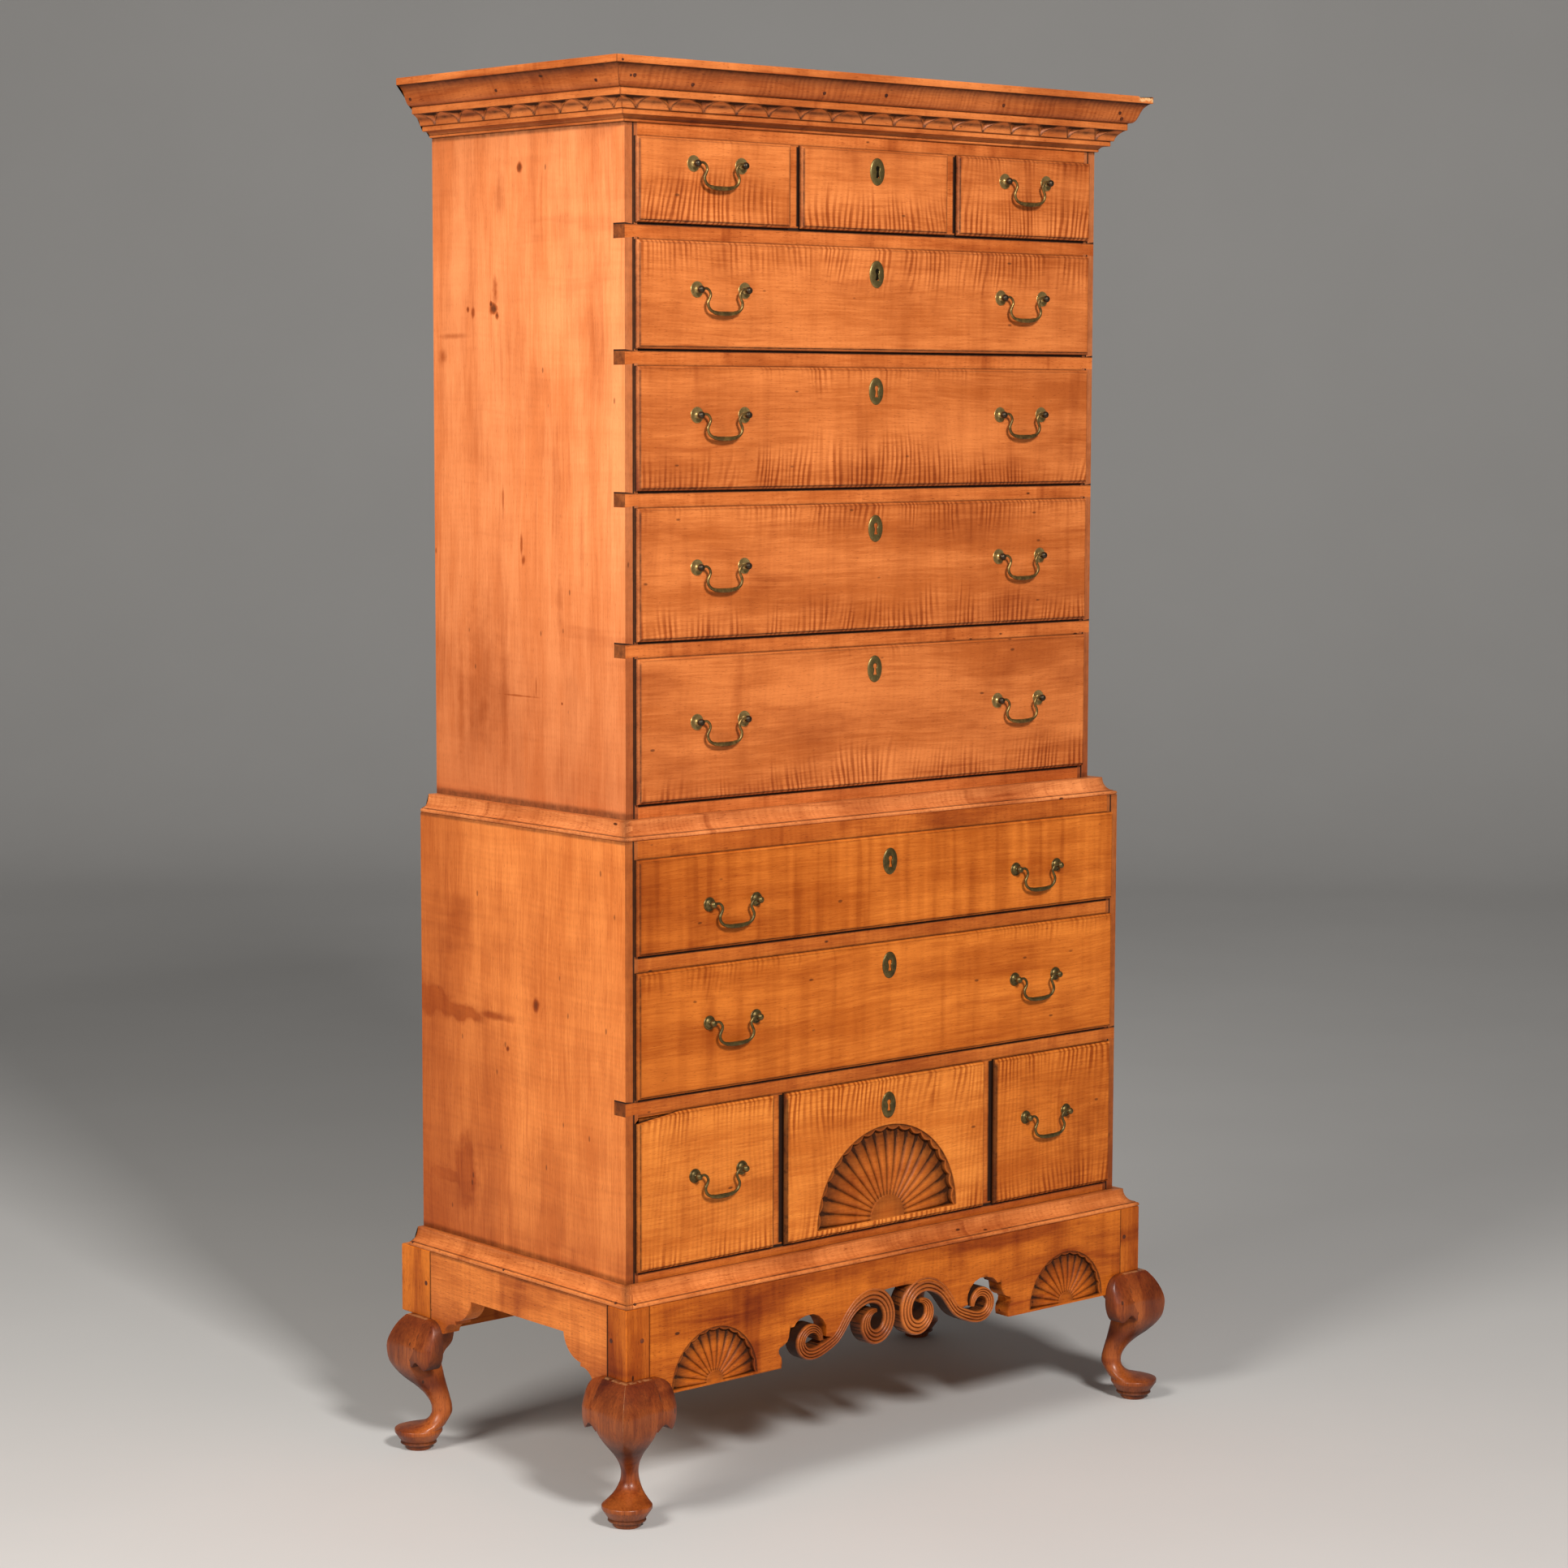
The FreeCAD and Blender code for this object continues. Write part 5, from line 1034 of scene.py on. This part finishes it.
LIP_THICK, TONGUE, GAP = 9.5, 13.0, 0.3
DRAWER_LENGTH, SIDE_THICK, BOTTOM_THICK, BACK_FOOT = 400.0, 11.0, 8.0, 14.0
TAIL_PITCH, TAIL_LENGTH = 74.0, 10.0


def tail_wedge(side, x, shoulder, z, step):
    """A dovetail of a drawer's side: a flat wedge that widens forwards from the shoulder into the
    front, as rings from the middle of its outer face round to the middle of its inner one."""
    tip = shoulder - TAIL_LENGTH
    root, wide = step * 0.25, step * 0.37
    outline = [(shoulder, z - root), (tip, z - wide), (tip, z + wide), (shoulder, z + root)]
    outline = np.array(outline + outline[:1])
    middle = np.broadcast_to(outline[:4].mean(0), outline.shape)
    flat = [(middle, 0.15), (outline, 0.15), (outline, -4.0), (middle, -4.0)]
    return np.array([np.insert(plan, 0, x + side * stand, axis=1) for plan, stand in flat])


# The lip from its back edge over the thumbnail to the field: distance in from the edge, how far
# in front of the case, and how dark, with grime and painted shade near black at the back edge
# and in the quirk.
LIP_PROFILE = [
    (0.0, 0.0, 1.0), (0.0, 2.6, 0.95), (0.1, 4.2, 0.6), (0.5, 5.8, 0.2), (1.2, 7.0, 0.06), (2.0, 7.7, 0.1),
    (2.6, 8.0, 0.7), (3.3, 8.0, 0.9), (3.6, 8.6, 0.9), (3.9, 9.4, 0.7), (4.6, 9.5, 0.3), (6.5, 9.5, 0.0),
]
# Each row's floor and height; and, for rows of three, where the uprights' sides are.
ROWS = {
    1: (1792.5, 111), 2: (1621.5, 143), 3: (1427.5, 166), 4: (1220.5, 179), 5: (995.5, 197), 6: (790.5, 129),
    7: (590.5, 172), 8: (347.5, 215),
}
UPRIGHTS = {1: (139.5, 164.5), 8: (195.5, 221.5)}
# The lip's overhang at the case's sides and elsewhere.
WIDE, SLIM = 6.0, 2.5
UPPER_OPENING, LOWER_OPENING, LOWER_ROW = 432, 461.5, 6
DRAWERS = []
for row in ROWS:
    half = UPPER_OPENING if row < LOWER_ROW else LOWER_OPENING
    if row in UPRIGHTS:
        near, far = UPRIGHTS[row]
        DRAWERS.append(("%d_left" % row, row, -half, -far, WIDE, SLIM))
        DRAWERS.append(("%d_middle" % row, row, -near, near, SLIM, SLIM))
        DRAWERS.append(("%d_right" % row, row, far, half, SLIM, WIDE))
    else:
        DRAWERS.append((str(row), row, -half, half, WIDE, WIDE))
# How curly each front's board is, how dark at its left end, middle and right end, and how far the
# figured bands at its foot and head are cut off by its edges.
BOARDS = {
    "1_left": (0.05, (0.02, 0.02, 0.02), 0, 60), "1_middle": (0.06, (0.0, 0.0, 0.0), 5, 60),
    "1_right": (0.22, (0.08, 0.08, 0.08), -10, 20), "2": (0.05, (0.1, 0.05, 0.05), 130, -10),
    "3": (0.05, (0.1, 0.1, 0.1), 5, 35), "4": (0.07, (0.1, 0.09, 0.1), 10, 5),
    "5": (0.05, (0.15, 0.16, 0.16), 10, 60),
    "6": (-0.45, (0.62, 0.22, 0.12), 90, 90), "7": (-0.2, (0.45, 0.06, 0.04), 90, 25),
    "8_left": (0.2, (0.24, 0.16, 0.16), 25, 5), "8_middle": (0.24, (0.05, 0.0, 0.05), 25, 0),
    "8_right": (0.24, (0.12, 0.16, 0.16), 20, 0),
}
SIDE_POINTS = 25
DRAWER_FAN_Z, DRAWER_FAN = 357.0, (137.0, 33.0, 18, 9.0)


def perimeter(x, z, count):
    """Points round a rectangle, corners among them, anticlockwise from the lower left."""
    (x0, x1), (z0, z1) = x, z
    t = np.linspace(0, 1, count)[:-1, None]
    corners = np.array([(x0, z0), (x1, z0), (x1, z1), (x0, z1), (x0, z0)], float)
    sides = [a + (b - a) * t for a, b in zip(corners[:-1], corners[1:])]
    return np.concatenate(sides + [corners[:1]])


def field_grid(ring, count):
    """The flat middle of a front: a grid drawn between a ring's four sides, each point the sum of
    the two blends between facing sides less the blend of the four corners."""
    n = count - 1
    low, right = ring[: n + 1], ring[n : 2 * n + 1]
    high, left = ring[2 * n : 3 * n + 1][::-1], ring[3 * n : 4 * n + 1][::-1]
    s, t = np.linspace(0, 1, count)[None, :, None], np.linspace(0, 1, count)[:, None, None]
    upward = low[None] * (1 - t) + high[None] * t
    sideways = left[:, None] * (1 - s) + right[:, None] * s
    corners = (low[0] * (1 - s) + low[-1] * s) * (1 - t) + (high[0] * (1 - s) + high[-1] * s) * t
    return upward + sideways - corners


def drawer_front(label, x, z, opening, case_front, board):
    """The lipped front as rings from the tongue's back to the middle of the field: each ring is
    the rim's points pressed into a smaller rectangle."""
    lip_back = case_front - GAP
    rim = perimeter(x, z, SIDE_POINTS)

    def ring(inset_x, inset_z, y):
        flat_x = np.clip(rim[:, 0], x[0] + inset_x[0], x[1] - inset_x[1])
        flat_z = np.clip(rim[:, 1], z[0] + inset_z[0], z[1] - inset_z[1])
        return np.stack([flat_x, np.full(len(rim), y), flat_z], -1)

    tongue_x = (opening[0] + 1 - x[0], x[1] - (opening[1] - 1))
    tongue_z = (2.8, 4.5)
    middle = np.broadcast_to([(x[0] + x[1]) / 2, 0, (z[0] + z[1]) / 2], (len(rim), 3))
    back = middle * [1, 0, 1] + [0, lip_back + TONGUE, 0]
    rings = [back, ring(tongue_x, tongue_z, lip_back + TONGUE), ring(tongue_x, tongue_z, lip_back)]
    dark = [0.2, 0.2, 0.8]
    for inset, rise, dirt_and_shade in LIP_PROFILE:
        rings.append(ring((inset, inset), (inset, inset), lip_back - rise))
        dark.append(dirt_and_shade)
    wear = np.random.default_rng(board).normal(0, 1, (len(rim), 1))
    wear = (wear + np.roll(wear, 1, 0) + np.roll(wear, -1, 0)) / 3
    rings, dark = np.array(rings), np.array(dark)[:, None] * np.ones((1, len(rim)))
    rings[4:9, :, 1] += np.abs(wear[:, 0])[None, :] * 0.35
    on_left = rim[:, 0] < x[0] + 0.01
    dark[3:10] = np.clip(dark[3:10] + np.clip(wear[:, 0], 0, 1)[None, :] * 0.2, 0, 1)
    # The lip's left side is dark with grime and painted shade, black on the two right-hand drawers of the
    # lowest row.
    side_dark = np.array([1.0, 1.0, 0.8, 0.6, 0.5, 0.45, 0.6, 0.9])[:, None]
    dark[3:11, on_left] = np.maximum(side_dark, 0.92) if label in ("8_middle", "8_right") else side_dark
    on_top = rim[:, 1] > z[1] - 0.01
    dark[7:, on_top] *= 0.4
    if label == "8_left":
        broken = np.clip(1 - (rings[..., 0] - x[0]) / 78, 0, 1) * 10 + np.abs(wear[:, 0])[None, :] * 1.5
        broken *= rings[..., 0] < x[0] + 85
        rings[3:, :, 2] = np.minimum(rings[3:, :, 2], z[1] - broken[3:])
    return rings, dark, lip_back - LIP_PROFILE[-1][1]


for number, (label, row, x0, x1, left_lip, right_lip) in enumerate(DRAWERS):
    upper = row < LOWER_ROW
    floor, height = ROWS[row]
    case_front = UPPER_FRONT if upper else LOWER_FRONT
    x, z = (x0 - left_lip, x1 + right_lip), (floor - SLIM, floor + height + SLIM)
    board = 50 + number
    rings, dark, face = drawer_front(label, x, z, (x0, x1), case_front, board)
    curl, tints, foot_cut, head_cut = BOARDS[label]
    ends = (x[0], (x[0] + x[1]) / 2, x[1])
    reach = (z[0] - foot_cut, z[1] + head_cut)
    wood = maple if upper else golden_maple if label in ("8_left", "8_middle") else amber_maple
    if label == "8_middle":
        fan, shade, rim = carved_fan(0.0, face, DRAWER_FAN_Z, *DRAWER_FAN)
        fan_stain = np.full(fan.shape[:2], 0.7)
        fan_stain[-2:] = 0.1
        carving = patch(fan, "x", board, 0.1, shade, fan_stain)
        inner_ring = rings[-1][:-1][:, [0, 2]]
        inner_ring = inner_ring[np.linalg.norm(inner_ring - np.roll(inner_ring, 1, 0), axis=1) > 1e-3]
        points, faces = flat_face(inner_ring, [rim], face, 8.0)
        tint = np.interp(points[None, :, 0], ends, tints)
        field = [(patch(points[None], "x", board, curl, 0.0, tint, reach), faces)]
        tint = np.interp(rings[..., 0], ends, tints)
        front_parts = [patch(rings, "x", board, curl, dark, tint, reach), carving]
    else:
        field, middle = [], field_grid(rings[-1], SIDE_POINTS)
        front_parts = [
            patch(part, "x", board, curl, dirt_and_shade, np.interp(part[..., 0], ends, tints), reach)
            for part, dirt_and_shade in ((rings, dark), (middle, 0.0))
        ]
    low, high = floor + GAP, floor + height - 2
    shoulder, end = case_front - GAP + TONGUE, case_front + DRAWER_LENGTH
    outer, inner = (x0 + 1, x1 - 1), (x0 + 1 + SIDE_THICK, x1 - 1 - SIDE_THICK)
    sides, bottom = (shoulder - 0.2, end), low + BACK_FOOT
    grooved = (inner[0] - 4, inner[1] + 4)
    boards = [
        (eased_board((outer[0], inner[0]), sides, (low, high), 0.6), "y"),
        (eased_board((inner[1], outer[1]), sides, (low, high), 0.6), "y"),
        (eased_board(inner, (end - SIDE_THICK, end), (bottom, high - 3), 0.6), "x"),
        (eased_board(grooved, (shoulder - 4, end), (bottom - BOTTOM_THICK, bottom), 0.4), "x"),
    ]
    carcase = [patch(shape, fibre, board + 20 + k, 0.0) for k, (shape, fibre) in enumerate(boards)]
    tails = max(2, round((high - bottom) / TAIL_PITCH))
    tail_step = (high - bottom) / tails
    for side, x in zip((-1, 1), outer):
        for k in range(tails):
            tail = tail_wedge(side, x, shoulder, bottom + tail_step * (k + 0.5), tail_step)
            carcase.append(patch(tail, "y", board + 20, 0.0))
    drawer = "drawer_" + label
    piece("drawer_front_" + label, front_parts, wood, drawer, [drawer], crease=24, filled=field)
    piece("drawer_box_" + label, carcase, drawer_pine, drawer, [drawer])


# Brass. Cast posts with round backplates run through each front to a nut inside; oval key
# plates are nailed on. All have gone olive and dark with age, bright where hands rub them.


def brass_metal(name, bright, dull, polish):
    """Old brass: tarnish in soft patches and specks over bright metal."""
    material, tree, shader = new_material(name)
    place = add(tree, "TexCoord", give="Object")
    tarnish = place.noise((120, 120, 120), 4, 0.65).ramp(polish - 0.2, polish + 0.2)
    specks = place.noise((900, 900, 900), 2).ramp(0.58, 0.7)
    colour = mix(tree, specks * 0.5, mix(tree, tarnish, dull, bright), (0.045, 0.035, 0.012))
    pitted = place.noise((400, 400, 400), 3)
    bump = add(tree, "Bump", {"Height": pitted, "Strength": 0.25, "Distance": 0.0003})
    feed(shader, {"Base Color": colour, "Roughness": tarnish * -0.15 + 0.48, "Metallic": 0.8, "Normal": bump})
    return material


pale_brass = brass_metal("pale old brass", (0.55, 0.375, 0.140), (0.32, 0.208, 0.072), 0.48)
plate_brass = brass_metal("dull old brass", (0.27, 0.195, 0.068), (0.16, 0.112, 0.038), 0.5)
bail_brass = brass_metal("rubbed brass", (0.34, 0.208, 0.062), (0.110, 0.066, 0.022), 0.54)
dark_brass = brass_metal("dark old brass", (0.19, 0.134, 0.044), (0.080, 0.056, 0.020), 0.52)
bronze = brass_metal("dark bronze", (0.075, 0.052, 0.032), (0.030, 0.021, 0.013), 0.5)


def turned(profile, x, z, face):
    """A turned piece: a profile of (radius, distance in front of the face) spun about its axis."""
    profile = np.asarray(profile, float)
    turn = np.linspace(0, 2 * math.pi, 33)[None, :]
    radius, stand = profile[:, :1], profile[:, 1:]
    return np.stack([x + radius * np.cos(turn), face - stand + 0 * turn, z + radius * np.sin(turn)], -1)


NUT = [
    (0, -26.2), (2.0, -26.2), (2.4, -25.6), (2.4, -25.2), (6.6, -25.2), (7.2, -24.6), (7.2, -22.6),
    (2.4, -22.6), (2.4, 0),
]
FLAT_ROSETTE = NUT + [
    (11.2, 0), (11.4, 0.5), (11.1, 1.1), (10.0, 1.3), (9.3, 1.0), (4.8, 1.5), (4.2, 2.2), (3.1, 3.0),
    (2.7, 4.4),
]
DOMED_ROSETTE = NUT + [
    (9.6, 0), (10.2, 0.8), (9.6, 1.9), (8.3, 2.2), (7.6, 2.0), (6.6, 3.0), (4.6, 4.0), (3.2, 4.4), (2.8, 5.2),
]
HEAD = [
    (0, 4.0), (2.6, 5.4), (3.6, 6.0), (4.5, 7.2), (5.0, 9.0), (5.0, 10.8), (4.5, 12.4), (3.5, 13.6),
    (2.0, 14.4), (0, 14.7),
]
NAIL_HEAD = [(0, 0), (1.1, 0.9), (1.0, 1.5), (0, 1.9)]
RIVET = [(0, -1.2), (1.6, -0.9), (2.2, 0)]
KEYHOLE = [(0, 8.5), (2.5, 7.7), (3.9, 5.2), (3.4, 2.2), (2.1, 0.4), (2.4, -3.5), (3.8, -8.6), (0, -8.6)]
# The plate's half sizes, and its dome: share of the way from keyhole to edge, and thickness.
PLATE_HALF = np.array([14.0, 19.5])
PLATE_DOME = [
    (0, -1.0), (0, 1.7), (0.04, 1.9), (0.3, 2.2), (0.6, 2.0), (0.85, 1.5), (0.96, 1.0), (1.0, 0.5),
    (1.0, 0.0),
]
LOCK_HALF, LOCK_DEEP, LOCK_BELOW, LOCK_ABOVE = 30, 11, 29.4, 12.6


def key_plate(z, face):
    """An oval plate: rings from its keyhole's inner wall out over a low dome to a thin edge. The
    keyhole is round above and a flared slot below."""
    half = np.array(KEYHOLE)
    line = np.concatenate([half, half[-2::-1] * [-1, 1]])
    step = np.concatenate([[0], np.cumsum(np.linalg.norm(np.diff(line, axis=0), axis=1))])
    at = np.linspace(0, step[-1], 65)
    hole = np.stack([np.interp(at, step, line[:, k]) for k in (0, 1)], 1)
    turn = np.arctan2(*(hole / PLATE_HALF).T)
    oval = np.stack([np.sin(turn), np.cos(turn)], 1) * PLATE_HALF
    plans = [(hole + (oval - hole) * share + [0, z], face - stand) for share, stand in PLATE_DOME]
    return np.array([np.insert(plan, 1, y, axis=1) for plan, y in plans])


PULL_Z = {1: 1872.0, 2: 1701.0, 3: 1528.9, 4: 1318.4, 5: 1103.1, 6: 851.0, 7: 684.1, 8: 470.1}
PULL_X = {1: 298.25, 2: 292, 3: 292, 4: 292, 5: 292, 6: 299, 7: 299, 8: 325.02}
PLATE_Z = {1: 1875.0, 2: 1729.5, 3: 1562.8, 4: 1365.5, 5: 1162.0, 6: 884.0, 7: 731.5, 8: 524.7}
BORE = 86.0
LOCKED_ROWS = (1, 2)
keyhole_dark = brass_metal("keyhole shadow", (0.02, 0.014, 0.008), (0.01, 0.007, 0.004), 0.5)


def face_of(row):
    """Where the drawer fronts of a row have their faces."""
    return (UPPER_FRONT if row < LOWER_ROW else LOWER_FRONT) - GAP - LIP_THICK


for label, row, *_ in DRAWERS:
    upper, place = row < LOWER_ROW, label.split("_")[-1]
    face = face_of(row)
    body, node = "drawer_" + label, "brass_" + label
    if place not in ("left", "right"):
        z, metal = PLATE_Z[row], plate_brass if upper else dark_brass
        plate = [key_plate(z, face)] + [turned(NAIL_HEAD, 0.0, z + up, face) for up in (-14.6, 15.6)]
        piece("key_plate_" + label, [patch(p) for p in plate], metal, body, [node], crease=50)
        if row in LOCKED_ROWS:
            # A dark disc behind each keyhole is a painted shadow seen through it.
            shadow = turned([(0, 0.05), (4.6, 0.05)], 0.0, z, face)
            shadow[..., 2] = (shadow[..., 2] - z) * 2 + z
            piece("keyhole_" + label, [patch(shadow)], keyhole_dark, body, [node])
            near = UPPER_FRONT - GAP + TONGUE
            far = near + LOCK_DEEP
            heights = (z - LOCK_BELOW, z + LOCK_ABOVE)
            lock = [eased_board((-LOCK_HALF, LOCK_HALF), (near, far), heights, 1.0)]
            lock += [turned(RIVET, x, z + up, far) for x in (-24, 24) for up in (-24, 7)]
            piece("lock_" + label, [patch(p) for p in lock], dark_brass, body, [node])
    if place == "middle":
        continue
    sides = {"left": [-1], "right": [1]}.get(place, [-1, 1])
    spots = [side * PULL_X[row] + hand * BORE / 2 for side in sides for hand in (-1, 1)]
    for name, profile, metal in (
        ("rosettes_", FLAT_ROSETTE if upper else DOMED_ROSETTE, pale_brass), ("posts_", HEAD, bronze),
    ):
        parts = [patch(turned(profile, x, PULL_Z[row], face)) for x in spots]
        piece(name + label, parts, metal if upper else dark_brass, body, [node], crease=35)


# Bails. Cast brass handles in a swan-neck curve, thick in the grip and thin at the necks, that
# hang from holes in the posts' heads and swing up.

NECK = [
    (-3, 0), (0, 0), (5, 1.2), (10, 1.2), (14.6, -2), (16.6, -7), (14.5, -12.5), (12, -17.5), (12.6, -23),
    (16.5, -28), (23, -31), (32, -32.6), (43, -33),
]
BAIL_FLAT, PIN_STAND = 0.86, 10.0


def bail_surface(x, y, z):
    """A round bar carried along the swan-neck line, its radius growing towards the grip with a
    small collar where the grip begins, a little flat from front to back, closed at both pins."""
    half = smooth_line(NECK, 40)
    line = np.concatenate([half, [BORE, 0] + half[-2::-1] * [-1, 1]])
    heading = np.gradient(line, axis=0)
    heading /= np.linalg.norm(heading, axis=1, keepdims=True)
    normal = np.stack([-heading[:, 1], heading[:, 0]], 1)
    inward = np.minimum(line[:, 0], BORE - line[:, 0])
    grip = slope_from(inward, 22, 18)
    radius = 1.9 + 0.35 * np.clip(-line[:, 1] / 20, 0, 1) + 1.15 * np.sin(grip * math.pi / 2)
    collar = bump_at(inward, 25, 1.6) * (line[:, 1] < -28)
    radius = (radius + 0.55 * collar)[:, None]
    turn = np.linspace(0, 2 * math.pi, 17)[None, :]
    plan = line[:, None, :] + normal[:, None, :] * (radius * np.cos(turn))[..., None]
    points = [x - BORE / 2 + plan[..., 0], y + BAIL_FLAT * radius * np.sin(turn), z + plan[..., 1]]
    return with_ends(np.stack(points, -1))


for row in ROWS:
    metal = bail_brass if row < LOWER_ROW else dark_brass
    for side, flank in FLANKS:
        bail = bail_surface(side * PULL_X[row], face_of(row) - PIN_STAND, PULL_Z[row])
        name = "bail_%d_%s" % (row, flank)
        piece("swan_neck_" + name, [patch(bail)], metal, name, [name], crease=60)


# Pegs and nails. Oak pegs pin the stand's tenons, and plugs cover the nails that hold the
# mouldings; all have gone nearly black.

PEG, PLUG, NAIL = 3.4, 2.8, 1.8
STUDS = [
    (-481.8, -252, 258, PEG, "front"), (476.5, -252, 260, PEG, "front"), (-218.4, -509.5, 256, PEG, "left"),
    (221, -509.5, 255, PEG, "left"), (-219, -509.5, 256, PEG, "right"), (220, -509.5, 256, PEG, "right"),
    (255.7, -509, 310, NAIL, "left"), (31, -509, 310, NAIL, "left"), (-227.3, -509, 311, NAIL, "left"),
    (-493.5, -251.5, 311, NAIL, "front"), (-474.5, -231.5, 1981.6, PLUG, "front"),
    (-481, -231, 1981, NAIL, "front"), (-372, -229, 1975, PLUG, "front"),
    (-134, -229.6, 1977, PLUG, "front"), (-18, -231, 1980, PLUG, "front"),
    (215, -230.5, 1979, PLUG, "front"), (458.5, -231.2, 1980.6, PLUG, "front"),
    (465.7, -228.2, 1972.5, PLUG, "front"), (-506, -245, 1999, NAIL, "front"),
    (251, -500.6, 1977, PLUG, "left"), (45, -500.6, 1977, PLUG, "left"), (-180, -500.6, 1977, PLUG, "left"),
    (140, -500.6, 1977, PLUG, "right"), (-120, -500.6, 1977, PLUG, "right"),
]
studs = []
for run, face, z, radius, flank in STUDS:
    stud = turned([(0, -1.5), (radius, -1.5), (radius, 0.2), (radius * 0.7, 0.4), (0, 0.45)], run, z, face)
    if flank != "front":
        stud = stud[..., [1, 0, 2]] * (1 if flank == "left" else -1, 1, 1)
    studs.append(patch(stud, "y", 90 + len(studs), 0.0, 0.8 if radius < PEG else 0.45, 0.8))
piece("pegs_and_nails", studs, stained_maple)


# Studio. A pale floor that turns up into a pale backdrop, one soft light to the left for the side,
# one high in front and a little to the left, and the camera at the photograph's place.


def floor_surface():
    """A floor that runs back and sweeps up into a wall by a quarter circle, square to the camera."""
    near, far, radius, high, half = -9.0, 6, 2.5, 9.0, 14
    turn = np.linspace(0, math.pi / 2, 25)
    sweep_up = np.stack([far + radius * np.sin(turn), radius - radius * np.cos(turn)], 1)
    run = np.concatenate([[(near, 0.0)], sweep_up, [(far + radius, high)]])
    across = np.linspace(-half, half, 3)
    heading = np.array([math.sin(math.radians(41)), math.cos(math.radians(41))])
    beside = np.array([heading[1], -heading[0]])
    plan = run[:, None, :1] * heading + across[None, :, None] * beside
    return np.concatenate([plan, np.broadcast_to(run[:, None, 1:], plan.shape[:2] + (1,))], -1)


grid = floor_surface()
mesh = bpy.data.meshes.new("floor")
mesh.from_pydata(grid.reshape(-1, 3), [], grid_faces(grid.shape[:2]))
mesh.polygons.foreach_set("use_smooth", np.ones(len(mesh.polygons), bool))
material, tree, shader = new_material("pale floor")
cloudy = add(tree, "TexCoord", give="Object").noise((2, 2, 2), 3)
tint = mix(tree, cloudy, (0.56, 0.555, 0.55), (0.60, 0.595, 0.59))
feed(shader, {"Base Color": tint, "Roughness": 0.85})
mesh.materials.append(material)
floor = set_down("floor", mesh)
floor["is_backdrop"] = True

world = bpy.data.worlds.new("studio")
bpy.context.scene.world = world
world.use_nodes = True
feed(world.node_tree.nodes["Background"], {"Color": (1, 0.98, 0.95), "Strength": 0.13})


def soft_light(name, place, target, width, height, power, tint):
    """A rectangular lamp turned to face its target."""
    lamp = bpy.data.lights.new(name, "AREA")
    lamp.shape, lamp.size, lamp.size_y = "RECTANGLE", width, height
    lamp.energy, lamp.color = power, tint
    aim = (Vector(target) - Vector(place)).to_track_quat("-Z", "Y")
    set_down(name, lamp).matrix_world = Matrix.Translation(place) @ aim.to_matrix().to_4x4()


soft_light("side", (-3.9, -0.7, 3.0), (-0.4, 0.0, 1.45), 1.4, 1.4, 147, (1, 0.96, 0.9))
soft_light("front", (-1.7, -5.0, 4.1), (0, -0.2, 1.25), 1.0, 1.0, 340, (1, 0.97, 0.93))

# The camera as solved from the photograph: its turn, its place, and its focal length in pixels.
YAW, PITCH, ROLL = math.radians(40.981), math.radians(-6.024), math.radians(0.159)
CAMERA_PLACE = (-3.5586, -4.0894, 1.5500)
FOCAL_PIXELS, PHOTO_PIXELS, SENSOR = 4484.8, 1932, 36.0
camera = bpy.data.cameras.new("camera")
camera.sensor_width, camera.sensor_height, camera.sensor_fit = SENSOR, SENSOR, "HORIZONTAL"
camera.lens = FOCAL_PIXELS / PHOTO_PIXELS * SENSOR
camera.clip_end = 100
viewer = set_down("camera", camera)
forward = Vector((math.sin(YAW) * math.cos(PITCH), math.cos(YAW) * math.cos(PITCH), math.sin(PITCH)))
right = Vector((math.cos(YAW), -math.sin(YAW), 0))
up = right.cross(forward)
turned_right = right * math.cos(ROLL) + up * math.sin(ROLL)
turned_up = up * math.cos(ROLL) - right * math.sin(ROLL)
axes = Matrix((turned_right, turned_up, -forward)).transposed().to_4x4()
viewer.matrix_world = Matrix.Translation(CAMERA_PLACE) @ axes
bpy.context.scene.camera = viewer
bpy.context.scene.view_settings.view_transform = "Standard"

low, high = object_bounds()
